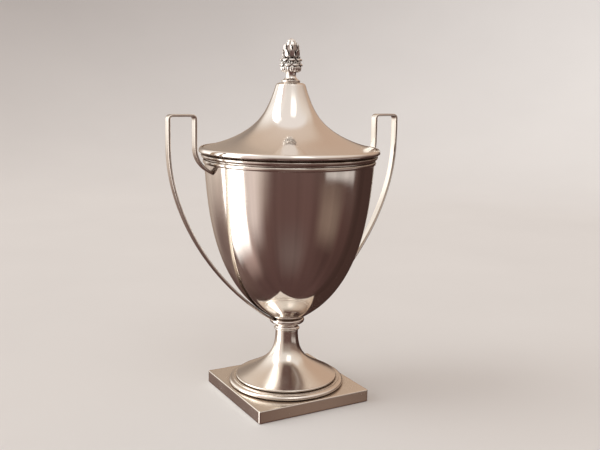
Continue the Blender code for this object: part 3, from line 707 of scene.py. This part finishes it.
# The rim and girdle wires take rim_silver, which paints shade beside them under the edge of the lid.
for node, name, finish, belly, rise in (
        ("bowl_rim_bead", "rim_moulding", rim_silver, RIM_BELLY, 0.0),
        ("bowl_girdle_bead", "girdle_moulding", rim_silver, GIRDLE_BELLY, 0.0),
        ("lid_edge_bead", "lid_moulding", wire_silver, LID_BELLY, LID_WIRE_RISE)):
    coarse = meridian(node)
    coarse[-1, 1] += rise
    wire = half_round(coarse, belly)
    set_in_place(turned(eased([wire, wire[[-1, 0]]])), name, finish, node)

# %% [markdown]
# ## Foot
# The foot is a spun trumpet on a turned ring. The trumpet's lower edge is rolled to a thin bead, and the
# ring has a round moulding under a flat step. One spline through everything would be simpler, but it
# would round off the creases, which show as dark lines. So only the long curves are faired, and the beads
# are drawn again as half rounds. The solids stay a hair apart, and on the real cup solder fills that gap,
# so the ring is let down by most of it.

# %% Foot
BEAD_POINTS = 5
FLARE_TOP_EDGES = 3
SOLDER = 0.00025
RING_BELLY = 0.42
RING_FULLNESS = 0.8


def flats(outline, first, last):
    """Straight lines of a closed outline: from each point to the next, from first up to last."""
    return [outline[[index % len(outline), (index + 1) % len(outline)]] for index in range(first, last)]


trumpet = meridian("foot_trumpet")
bead = half_round(trumpet[1:1 + BEAD_POINTS])
flare_end = int(np.argmax(trumpet[:, 1]))
wall_start = flare_end + FLARE_TOP_EDGES
flare = fair(trumpet[BEAD_POINTS:flare_end + 1])
inner_wall = fair(trumpet[wall_start:])
lines = [*flats(trumpet, 0, 1), bead, flare, *flats(trumpet, flare_end, wall_start)]
lines += [inner_wall, [inner_wall[-1], trumpet[0]]]
set_in_place(turned(eased(lines)), "foot_flare", worn_and_shaded_silver, "foot_trumpet")

ring = meridian("foot_ring")
ring[ring[:, 1] < ring[:, 1].min() + TOUCH, 1] -= SOLDER
moulding = half_round(ring[1:1 + BEAD_POINTS], RING_BELLY, RING_FULLNESS)
lines = [moulding, *flats(ring, BEAD_POINTS, len(ring) + 1)]
set_in_place(turned(eased(lines)), "foot_moulding", worn_and_shaded_silver, "foot_ring")

# %% [markdown]
# ## Collar and knop
# Where the stem meets the bowl there is a small collar with a bead, and a round ring called a knop. Both
# are turned from the solid. A cylinder and a torus would miss their small steps, so they are spun in the
# same way as the foot, each from its beads and straight lines. The knop is squarer than a half round, and
# its top is raised to meet the bowl, again as solder would.

# %% Collar and knop
WAIST_POINTS = 3
KNOP_POINTS = 7
KNOP_FULLNESS = 0.6
COLLAR_STEP = FAIR_STEP / 4
SMALL_SEGMENTS = 72

collar = meridian("neck_band")
waist_end = BEAD_POINTS + WAIST_POINTS
waist = fair(collar[BEAD_POINTS:waist_end], COLLAR_STEP)
lines = [*flats(collar, 0, 1), half_round(collar[1:1 + BEAD_POINTS]), waist]
lines += flats(collar, waist_end - 1, len(collar))
set_in_place(turned(eased(lines), SMALL_SEGMENTS), "stem_collar", spun_silver, "neck_band")

knop = meridian("knop_ring")
knop[knop[:, 1] > knop[:, 1].max() - TOUCH, 1] += SOLDER
lines = [*flats(knop, 0, 1), half_round(knop[1:1 + KNOP_POINTS], fullness=KNOP_FULLNESS)]
lines += flats(knop, KNOP_POINTS, len(knop))
set_in_place(turned(eased(lines)), "stem_knop", spun_silver, "knop_ring")

# %% [markdown]
# ## Lofting
# Pieces that aren't round, such as the square plinth and the strap handles, are made from a row of rings
# that are joined like the ribs of a boat. Cubes with modifiers could do it too. With rings, the eased
# outlines from above can be used again, and each point goes exactly where it is wanted.

# %% Loft helper


def lofted(rings, closed):
    """Skin a row of rings of points; closed joins the last ring to the first, or else both are capped."""
    bm = bmesh.new()
    grid = [[bm.verts.new(point) for point in ring] for ring in rings]
    for lower, upper in neighbours(grid, closed):
        for index in range(len(lower)):
            bm.faces.new((lower[index - 1], lower[index], upper[index], upper[index - 1]))
    if not closed:
        bm.faces.new(grid[0])
        bm.faces.new(grid[-1])
    bmesh.ops.remove_doubles(bm, verts=bm.verts, dist=TOUCH)
    return bm


print("loft helper is ready")

# %% [markdown]
# ## Plinth
# The plinth is folded from sheet: a flat top, four short sides, and nothing underneath. Its edges are
# soft from polishing. A cube with a solidify modifier would come close, but a hollow, eased outline that
# is swept round a square gives the soft edges and the real thickness of the sheet in one go.

# %% Plinth
PLINTH_CORNER = 0.0011
PLINTH_INNER_CORNER = PLINTH_CORNER / 4
PLINTH_EDGE = 0.0007
PLINTH_STEPS = 5
NEAR_AXIS = 0.005


def square_ring(half, corner, height):
    """Square with rounded corners; half is half its side."""
    points = []
    for quarter in range(4):
        for step in range(PLINTH_STEPS + 1):
            angle = math.pi / 2 * (quarter + step / PLINTH_STEPS)
            middle = math.pi / 2 * (quarter + 0.5)
            shift = (half - corner) * math.sqrt(2)
            points.append((shift * math.cos(middle) + corner * math.cos(angle),
                           shift * math.sin(middle) + corner * math.sin(angle), height))
    return points


plinth = frame["nodes"]["plinth"].data.vertices
half = max(vert.co.x for vert in plinth)
top = max(vert.co.z for vert in plinth)
hole = [vert.co for vert in plinth if vert.co.xy.length < NEAR_AXIS]
bore = max(point.xy.length for point in hole)
under = min(point.z for point in hole)
inner = half - (top - under)
section = np.array([(inner, 0.0), (half, 0.0), (half, top), (bore, top), (bore, under), (inner, under)])
rings = []
for reach, height in eased(flats(section, 0, len(section)), PLINTH_EDGE):
    corner = max(PLINTH_CORNER - (half - reach), PLINTH_INNER_CORNER)
    rings.append(square_ring(reach, reach if reach < NEAR_AXIS else corner, height))
set_in_place(lofted(rings, True), "plinth_sheet", sheet_silver, "plinth")

# %% [markdown]
# ## Reading a strap
# Each handle is one flat silver strap, bent to an angular loop and soldered to the bowl at both ends. A
# curve object with a bevel could make it, but its path would have to be typed in again. Here the middle
# line is read from the solid: its side is a closed walk along both faces of the strap, and the middle of
# each pair of points lies on the line.

# %% Strap reader


def side_walk(node):
    """Points round the side of a strap, in order, as x and z."""
    bm = welded(node)
    edge_y = max(vert.co.y for vert in bm.verts)
    on_side = {vert for vert in bm.verts if vert.co.y > edge_y - TOUCH}
    border = [edge for edge in bm.edges if set(edge.verts) <= on_side
              and sum(set(face.verts) <= on_side for face in edge.link_faces) == 1]
    beside = {}
    for edge in border:
        first, second = edge.verts
        beside.setdefault(first, []).append(second)
        beside.setdefault(second, []).append(first)
    walk = [border[0].verts[0], border[0].verts[1]]
    while True:
        follow = next(vert for vert in beside[walk[-1]] if vert is not walk[-2])
        if follow is walk[0]:
            break
        walk.append(follow)
    points = np.array([(vert.co.x, vert.co.z) for vert in walk])
    bm.free()
    return points


def middle_line(walk):
    """Middle line of a strap: pair the points across it where it is thinnest."""
    count = len(walk) // 2
    steps = np.arange(count)
    best = min(range(len(walk)), key=lambda shift: np.linalg.norm(
        walk[(shift + steps) % len(walk)] - walk[(shift - 1 - steps) % len(walk)], axis=1).sum())
    line = (walk[(best + steps) % len(walk)] + walk[(best - 1 - steps) % len(walk)]) / 2
    return line if line[0, 1] > line[-1, 1] else line[::-1]


print("middle line of a strap has", len(middle_line(side_walk("handle_left"))), "points")

# %% [markdown]
# ## Handles
# The strap is straight on its long stretches and bends in short, tight turns. A spline like the bowl's
# would make it wave, so the line between two points leaves each of them in the mean direction of its
# neighbours and stays straight elsewhere. The section has round edges and slightly crowned faces, as a
# drawn strap has, and it is carried along the line ring by ring.

# %% Handles
STRAP_STEP = 0.0008
STRAP_ROUND = 0.00038
STRAP_CROWN = 0.00005
CROWN_SHARES = (0.5, 0.0, -0.5)
STRAP_STEPS = 4
STRAP_TUCK = 0.0007


def bent(points, step):
    """Smooth line that stays straight on the long stretches, as places and directions."""
    leg = np.diff(points, axis=0)
    length = np.linalg.norm(leg, axis=1)[:, None]
    aim = np.vstack([leg[:1], leg[:-1] + leg[1:], leg[-1:]])
    aim /= np.linalg.norm(aim, axis=1)[:, None]
    places = []
    for index in range(len(leg)):
        for t in np.arange(0.0, 1.0, 1.0 / max(1, round(length[index, 0] / step))):
            place = (1 + 2 * t) * (1 - t) ** 2 * points[index] + t ** 2 * (3 - 2 * t) * points[index + 1]
            sway = t * (1 - t) ** 2 * aim[index] - t ** 2 * (1 - t) * aim[index + 1]
            places.append(place + length[index] * sway)
    places = np.vstack([places, points[-1:]])
    heading = np.gradient(places, axis=0)
    return places, heading / np.linalg.norm(heading, axis=1)[:, None]


def strap_section(wide, thick):
    """Rounded strap section as pairs across its width and through its thickness."""
    section = []
    for quarter in range(4):
        sign_w = (1, -1, -1, 1)[quarter]
        sign_t = (1, 1, -1, -1)[quarter]
        for step in range(STRAP_STEPS + 1):
            angle = math.pi / 2 * (quarter + step / STRAP_STEPS)
            section.append((sign_w * (wide - STRAP_ROUND) + STRAP_ROUND * math.cos(angle),
                            sign_t * (thick - STRAP_ROUND) + STRAP_ROUND * math.sin(angle)))
        if sign_w == sign_t:
            section += [(sign_w * share * wide, sign_t * (thick + STRAP_CROWN)) for share in CROWN_SHARES]
    return section


# The strap silver paints dark shade, with some tarnish, where the straps meet the bowl and in their inner
# bends.
for node, name in (("handle_left", "strap_left"), ("handle_right", "strap_right")):
    strap_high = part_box(node)[1]
    line = middle_line(side_walk(node))
    places, heading = bent(line, STRAP_STEP)
    places[0] -= heading[0] * STRAP_TUCK
    section = strap_section(strap_high.y, strap_high.z - line[:, 1].max())
    rings = [[(x - dz * depth, wide, z + dx * depth) for wide, depth in section]
             for (x, z), (dx, dz) in zip(places, heading)]
    set_in_place(lofted(rings, False), name, strap_silver, node)

# %% [markdown]
# ## Lid
# The lid is spun like the bowl, with a flat brim that sweeps up into a hollow curve. Inside it, a plain
# ring drops into the mouth of the bowl and keeps the lid from sliding off. Both outlines come from the
# solids and could be spun as they are. But in the photograph the brim mirrors the upper part of the lid,
# so it has to be flatter than in the solid: it is raised towards its edge, a little at first and then
# more.

# %% Lid
BRIM_RISE = 0.0015
BRIM_START = 0.034

cover = meridian("lid_cover")
brim = np.clip((cover[:, 0] - BRIM_START) / (cover[:, 0].max() - BRIM_START), 0.0, 1.0)
cover[:, 1] += BRIM_RISE * brim ** 2 * (cover[:, 1] > cover[:, 1].min() + TOUCH)
set_in_place(turned(smooth_outline(cover)), "lid_spun", spun_silver, "lid_cover")
set_in_place(turned(smooth_outline(meridian("lid_bezel"))), "lid_bezel_ring", spun_silver, "lid_bezel")

# %% [markdown]
# ## Foot of the finial
# The finial stands on a small turned foot with a thin stem, as smooth and bright as the lid. A scaled
# cylinder would miss its flare, so it is spun like the other turned pieces, with finer steps and rounder
# edges for its size. It is let down on the lid by the thickness of the solder.

# %% Foot of the finial
STEM_STEP = FAIR_STEP / 3
STEM_EDGE = 0.0005

stem = smooth_outline(meridian("finial_stem"), STEM_STEP, STEM_EDGE)
stem[stem[:, 1] < stem[:, 1].min() + EDGE, 1] -= SOLDER
set_in_place(turned(stem, SMALL_SEGMENTS), "finial_foot", spun_silver, "finial_stem")

# %% [markdown]
# ## Chased silver
# The leaves and the cone of the finial are cast and then chased with punches. Polish stays black in their
# hollows, which is what makes leaves and scales easy to read. The bowl's finish would turn them into a
# glitter of small mirrors. So this one is a little rougher, and its tarnish is darker and gathers in the
# smallest corners.

# %% Chased silver
CAST_SILVER = (0.93, 0.90, 0.86)
CAST_TARNISH = (0.035, 0.022, 0.015)

chased_silver = metal("chased_silver", CAST_SILVER, dull=1.6, haze=(0.20, 0.32), wobble=0.00004,
                      marks=0.000002, reach=0.0016, tarnish=CAST_TARNISH, grain="upright")
print("chased silver has", len(chased_silver.node_tree.nodes), "nodes")

# %% [markdown]
# ## Blades
# Leaves and scales are both thin blades, so they share a helper. A plane with a solidify modifier would
# do for one of them, but here every point of a blade gets its own place. A grid of points is skinned on
# the front, the same grid is set back by the thickness, and a rim joins the two.

# %% Blade helpers


def round_axis(radius, angle, height):
    """Point at a radius, angle and height round the axis of the cup."""
    return (radius * math.cos(angle), radius * math.sin(angle), height)


def blade(bm, place, grid, thickness):
    """Closed blade; place(u, v, depth) is a point for u from -1 to 1 across and v from 0 to 1 along."""
    across, along = grid
    faces = []
    for depth in (0.0, thickness):
        faces.append([[bm.verts.new(place(u, v, depth)) for v in np.linspace(0.0, 1.0, along)]
                      for u in np.linspace(-1.0, 1.0, across)])
    front, back = faces
    for i in range(across - 1):
        for j in range(along - 1):
            bm.faces.new((front[i][j], front[i + 1][j], front[i + 1][j + 1], front[i][j + 1]))
            bm.faces.new((back[i][j + 1], back[i + 1][j + 1], back[i + 1][j], back[i][j]))
    rim = [(i, 0) for i in range(across)] + [(across - 1, j) for j in range(1, along)]
    rim += [(i, along - 1) for i in range(across - 2, -1, -1)] + [(0, j) for j in range(along - 2, 0, -1)]
    for (i, j), (k, m) in neighbours(rim):
        bm.faces.new((front[k][m], front[i][j], back[i][j], back[k][m]))


print("blade helpers are ready")

# %% [markdown]
# ## Casting
# The blades overlap, as wax leaves do before casting. Boolean unions could join them one by one, but they
# are slow and often fail on thin shapes. A voxel remesh melts all of them into one closed casting. Where
# blades cross it leaves small closed bubbles inside, which are deleted, so that the casting is a single
# shell.

# %% Casting
CAST_VOXEL = 0.00014
CAST_SMOOTHING = 3


def shells(bm):
    """Sets of vertices that hang together, the largest first."""
    left = set(bm.verts)
    found = []
    while left:
        queue = [left.pop()]
        shell = set(queue)
        while queue:
            vert = queue.pop()
            near = {edge.other_vert(vert) for edge in vert.link_edges} & left
            left -= near
            shell |= near
            queue.extend(near)
        found.append(shell)
    return sorted(found, key=len, reverse=True)


def cast_in_one(bm, name, material, node):
    """Melt overlapping closed shapes into one casting, without the bubbles that the melting leaves."""
    piece = set_in_place(bm, name, material, node)
    remesh = piece.modifiers.new("cast", "REMESH")
    remesh.mode = "VOXEL"
    remesh.voxel_size = CAST_VOXEL
    smooth = piece.modifiers.new("chase", "SMOOTH")
    smooth.iterations = CAST_SMOOTHING
    melted = piece.evaluated_get(bpy.context.evaluated_depsgraph_get())
    casting = bmesh.new()
    casting.from_mesh(melted.to_mesh())
    bubbles = shells(casting)[1:]
    bmesh.ops.delete(casting, geom=[vert for bubble in bubbles for vert in bubble], context="VERTS")
    piece.modifiers.clear()
    casting.to_mesh(piece.data)
    casting.free()
    piece.data.shade_smooth()
    print(name, "is cast with", len(piece.data.polygons), "faces, without", len(bubbles), "bubbles")


print("casting helpers are ready")

# %% [markdown]
# ## A leaf
# The pine cone sits in a calyx, a cup of leaves in two rows that curl outwards at their tips. One leaf is
# a blade that follows a bent middle line, with a rib along it and small lobes at its edges. Sculpting
# would work as well, but a leaf made from a line and a width is easy to repeat round the cup.

# %% Leaf
FINE_STEP = 0.0001
CURL_START = 0.5
LEAF_FOOT = 0.7
LEAF_POINT = 0.85
LOBES = 3
LOBE_DEPTH = 0.06
VEIN_DEPTH = 0.0001
VEIN_SLANT = 0.25
RIB_RISE = 0.00034
RIB_WAVES = 3.0
LEAF_ARCH = 0.0006
TIP_ARCH = 1.6
LEAF_NEAREST = 0.004

calyx_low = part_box("finial_calyx")[0]


def leaf_place(line, width, centre):
    """Function that puts a point of a leaf round the axis."""
    fine = fair(line, FINE_STEP)
    heading = np.gradient(fine, axis=0)
    heading /= np.linalg.norm(heading, axis=1)[:, None]

    def place(u, v, depth):
        index = int(round(v * (len(fine) - 1)))
        radius, height = fine[index]
        away = (heading[index, 1], -heading[index, 0])
        curl = max(0.0, (v - CURL_START) / (1.0 - CURL_START))
        taper = min(1.0, LEAF_FOOT + v) * math.sqrt(1.0 - LEAF_POINT * curl ** 2)
        lobe = 1.0 - LOBE_DEPTH * math.sin(math.pi * LOBES * v) ** 2
        vein = -VEIN_DEPTH * math.sin(math.pi * 2 * LOBES * (v - VEIN_SLANT * abs(u))) ** 2 * abs(u)
        rib = RIB_RISE * math.cos(RIB_WAVES * math.pi * u) * (1.0 - curl)
        rise = rib - LEAF_ARCH * u * u * (1.0 - TIP_ARCH * curl) + vein - depth
        angle = centre + u * width * taper * lobe / max(radius, LEAF_NEAREST)
        return round_axis(radius + away[0] * rise, angle, calyx_low.z + height + away[1] * rise)

    return place


print("calyx starts", round(1000 * calyx_low.z, 1), "mm above the floor")

# %% [markdown]
# ## Calyx
# Eight lower leaves wrap the cup, and eight upper ones stand in the gaps between them. They could be an
# array round the axis. A loop that turns each leaf into its place does the same, and each row keeps its
# own line. A small spun cup behind the leaves fills the middle, and the casting step joins everything.

# %% Calyx
LEAVES = 8
LEAF_GRID = (17, 41)
LEAF_THICKNESS = 0.0006
LOWER_LEAF = [(0.0024, 0.0001), (0.0044, -0.0004), (0.0060, 0.0001), (0.0067, 0.0013), (0.0067, 0.0025),
              (0.0063, 0.0034), (0.0063, 0.0040), (0.0067, 0.0043), (0.0070, 0.0040), (0.0069, 0.0035)]
UPPER_LEAF = [(0.0048, 0.0032), (0.0058, 0.0042), (0.0062, 0.0053), (0.0059, 0.0063), (0.0058, 0.0070),
              (0.0061, 0.0074), (0.0065, 0.0072), (0.0065, 0.0067)]
LEAF_ROWS = ((LOWER_LEAF, 0.0031, 0.0), (UPPER_LEAF, 0.0028, 0.5))
CUP_LINE = [(0.0016, 0.0), (0.0037, 0.0), (0.0050, 0.0009), (0.0055, 0.0026), (0.0053, 0.0050),
            (0.0049, 0.0053), (0.0049, 0.0046), (0.0016, 0.0046)]

calyx = bmesh.new()
for line, width, shift in LEAF_ROWS:
    for leaf in range(LEAVES):
        blade(calyx, leaf_place(line, width, math.tau * (leaf + shift) / LEAVES), LEAF_GRID, LEAF_THICKNESS)
leaf_cup = turned(np.array([(radius, calyx_low.z + height) for radius, height in CUP_LINE]), SMALL_SEGMENTS)
leaf_cup_mesh = bpy.data.meshes.new("leaf_cup")
bmesh.ops.recalc_face_normals(leaf_cup, faces=leaf_cup.faces)
leaf_cup.to_mesh(leaf_cup_mesh)
leaf_cup.free()
calyx.from_mesh(leaf_cup_mesh)
bpy.data.meshes.remove(leaf_cup_mesh)
cast_in_one(calyx, "calyx_leaves", chased_silver, "finial_calyx")

# %% [markdown]
# ## A scale
# The knob of the lid is a pine cone: rows of rounded scales that overlap like roof tiles, with their tips
# a little lifted. A bump texture would look flat at the edges of the cone, so each scale is a real blade.
# It starts below the surface, dishes in the middle and ends in a round tip that stands proud.

# %% Scale
CONE_LINE = [(0.86, 0.0), (0.97, 0.16), (1.0, 0.30), (0.98, 0.50), (0.87, 0.68), (0.66, 0.83), (0.42, 0.93),
             (0.20, 0.985), (0.04, 1.0)]
CONE_SCALES = 8
SCALE_START = -0.06
SCALE_PITCH = 0.235
SCALE_LENGTH = 0.37
SCALE_SIDE = 0.45
SCALE_TIP = 0.55
SCALE_WIDTH = 0.94
SCALE_TAPER = 0.12
SCALE_SINK = 0.0014
SCALE_LIFT = 0.0003
LIFT_BEND = 0.8
SCALE_HOLLOW = 0.00035
HOLLOW_BEND = 1.6
HOLLOW_EDGE = 4
TIP_FADE = 6.0
TIP_LEAST = 0.25
LEAST_RADIUS = 0.0001

cone_low, cone_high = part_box("finial_cone")
cone_tall = cone_high.z - cone_low.z
cone_line = fair([(radius * cone_high.x, cone_low.z + share * cone_tall) for radius, share in CONE_LINE],
                 FINE_STEP)


def scale_place(row, centre):
    """Function that puts a point of a scale round the axis."""
    foot = SCALE_START + row * SCALE_PITCH

    def place(u, v, depth):
        reach = math.sqrt(max(0.0, 1.0 - u * u))
        share = min(1.0, foot + SCALE_LENGTH * v * (SCALE_SIDE + SCALE_TIP * reach))
        height = cone_low.z + share * cone_tall
        dish = SCALE_HOLLOW * (1.0 - u ** HOLLOW_EDGE) * math.sin(math.pi * v ** HOLLOW_BEND)
        rise = -SCALE_SINK + (SCALE_SINK + SCALE_LIFT) * v ** LIFT_BEND - dish - depth
        core = float(np.interp(height, cone_line[:, 1], cone_line[:, 0]))
        radius = max(LEAST_RADIUS, core + rise * min(1.0, TIP_FADE * (1.0 - share) + TIP_LEAST))
        angle = centre + math.pi / CONE_SCALES * SCALE_WIDTH * u * (1.0 - SCALE_TAPER * v)
        return round_axis(radius, angle, height)

    return place


print("cone is", round(1000 * cone_tall, 1), "mm tall")

# %% [markdown]
# ## Pine cone
# Four rows of scales climb the cone, each turned by half a scale, so that every tip covers a gap in the
# row above. Instances on a curve could place them. A loop is plainer, and it lets each scale bend with
# the cone. A smooth core closes the middle before all is cast in one.

# %% Pine cone
CONE_ROWS = 4
SCALE_GRID = (11, 11)
SCALE_THICKNESS = 0.00055
CORE_SHARE = 0.78
CORE_SEGMENTS = 32
CORE_STRIDE = 6

cone = lofted([[round_axis(radius * CORE_SHARE, math.tau * k / CORE_SEGMENTS, height)
                for k in range(CORE_SEGMENTS)] for radius, height in cone_line[::CORE_STRIDE]], False)
for row in range(CONE_ROWS):
    for scale in range(CONE_SCALES):
        centre = math.tau * (scale + 0.5 * (row % 2)) / CONE_SCALES
        blade(cone, scale_place(row, centre), SCALE_GRID, SCALE_THICKNESS)
cast_in_one(cone, "pine_cone", chased_silver, "finial_cone")

# %% [markdown]
# ## Threads
# A brass bolt holds bowl, foot and plinth together, and a stud holds the finial; they show only from
# below, or inside when the lid is up. Their threads could be a texture. A real spiral costs little: each
# ring of the rod is pressed in by a wave that moves on with the height. The brass is the same polished
# metal as the silver in another colour.

# %% Threads
BRASS = (0.74, 0.53, 0.25)
BRASS_TARNISH = (0.20, 0.11, 0.04)
THREAD_STEPS = 8
ROD_SEGMENTS = 36

turned_brass = metal("turned_brass", BRASS, dull=0.8, haze=(0.16, 0.30), wobble=0.00003, marks=0.000004,
                     reach=0.002, tarnish=BRASS_TARNISH)


def rod_ring(radius, height, depth=0.0, pitch=1.0):
    """Ring of a rod; depth presses a spiral thread into it."""
    ring = []
    for k in range(ROD_SEGMENTS):
        share = k / ROD_SEGMENTS
        wave = abs(2.0 * ((share - height / pitch) % 1.0) - 1.0)
        ring.append(round_axis(radius - depth * wave, math.tau * share, height))
    return ring


def threaded(radius, low, high, pitch, depth, point):
    """Rings of a thread from low to high that starts with a chamfer."""
    rings = [rod_ring(radius - point, low)]
    count = round((high - low - point) / pitch * THREAD_STEPS)
    for step in range(count + 1):
        height = low + point + (high - low - point) * step / count
        rings.append(rod_ring(radius, height, depth * min(1.0, (count - step) / THREAD_STEPS), pitch))
    return rings


print(turned_brass.name, "has", len(turned_brass.node_tree.nodes), "nodes")

# %% [markdown]
# ## Stud and bolt
# The stud is threaded from end to end. The bolt has a plain shank, a thread at its lower end and a round
# head in the bottom of the bowl. Both could be cut from cylinders with booleans. Stacking rings is
# quicker, and their sizes are read from the solids, so they fit their holes.

# %% Stud and bolt
STUD_PITCH = 0.00045
STUD_DEPTH = 0.00025
BOLT_PITCH = 0.0007
BOLT_DEPTH = 0.0004
BOLT_THREAD = 0.012
POINT = 0.0004

stud_low, stud_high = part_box("finial_stud")
stud = threaded(stud_high.x, stud_low.z, stud_high.z, STUD_PITCH, STUD_DEPTH, POINT)
set_in_place(lofted(stud, False), "stud_thread", turned_brass, "finial_stud")

bolt = frame["nodes"]["tie_bolt"].data.vertices
bolt_low, bolt_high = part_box("tie_bolt")
head_radius = max(vert.co.xy.length for vert in bolt)
head_under = min(vert.co.z for vert in bolt if vert.co.xy.length > head_radius - TOUCH)
shank = max(vert.co.xy.length for vert in bolt if vert.co.z < head_under - TOUCH)
rings = threaded(shank, bolt_low.z, bolt_low.z + BOLT_THREAD, BOLT_PITCH, BOLT_DEPTH, POINT)
rings += [rod_ring(shank, head_under - EDGE), rod_ring(shank + EDGE, head_under)]
for step in range(ROUND_STEPS):
    angle = math.pi / 2 * step / ROUND_STEPS
    rings.append(rod_ring(head_radius * math.cos(angle),
                          head_under + (bolt_high.z - head_under) * math.sin(angle)))
set_in_place(lofted(rings, False), "tie_bolt_brass", turned_brass, "tie_bolt")

# %% [markdown]
# ## Nuts and washers
# The nuts are hexagons whose corners are turned off at an angle, which leaves the curved edge that every
# nut has. It could be cut with a cone and a boolean. That curve comes for free when each ring takes the
# smaller of the hexagon and a cone. The washers are spun like the other turned pieces.

# %% Nuts and washers
NUT_SEGMENTS = 72
NUT_CHAMFER = 0.0006
NUT_FACE = 0.97
NUT_STEPS = 6


def nut_rings(node):
    """Rings of a hexagon nut round its bore."""
    points = [vert.co for vert in frame["nodes"][node].data.vertices]
    corner = max(point.xy.length for point in points)
    bore = min(point.xy.length for point in points)
    low = min(point.z for point in points)
    high = max(point.z for point in points)
    flat = corner * math.cos(math.pi / 6)
    face = flat * NUT_FACE
    shape = [(bore, low)]
    for step in range(NUT_STEPS + 1):
        share = step / NUT_STEPS
        shape.append((face + (corner - face) * share, low + NUT_CHAMFER * share))
    shape += [(reach, low + high - height) for reach, height in reversed(shape)]
    rings = []
    for reach, height in shape:
        ring = []
        for k in range(NUT_SEGMENTS):
            angle = math.tau * k / NUT_SEGMENTS
            radius = min(reach, flat / math.cos(angle % (math.pi / 3) - math.pi / 6))
            ring.append(round_axis(radius, angle, height))
        rings.append(ring)
    return rings


for node, name in (("finial_nut", "finial_nut_brass"), ("tie_nut", "tie_nut_brass")):
    nut = set_in_place(lofted(nut_rings(node), True), name, turned_brass, node)
    nut.data.set_sharp_from_angle(angle=CREASE)
for node, name in (("finial_washer", "finial_washer_brass"), ("tie_washer", "tie_washer_brass")):
    set_in_place(turned(smooth_outline(meridian(node)), SMALL_SEGMENTS), name, turned_brass, node)
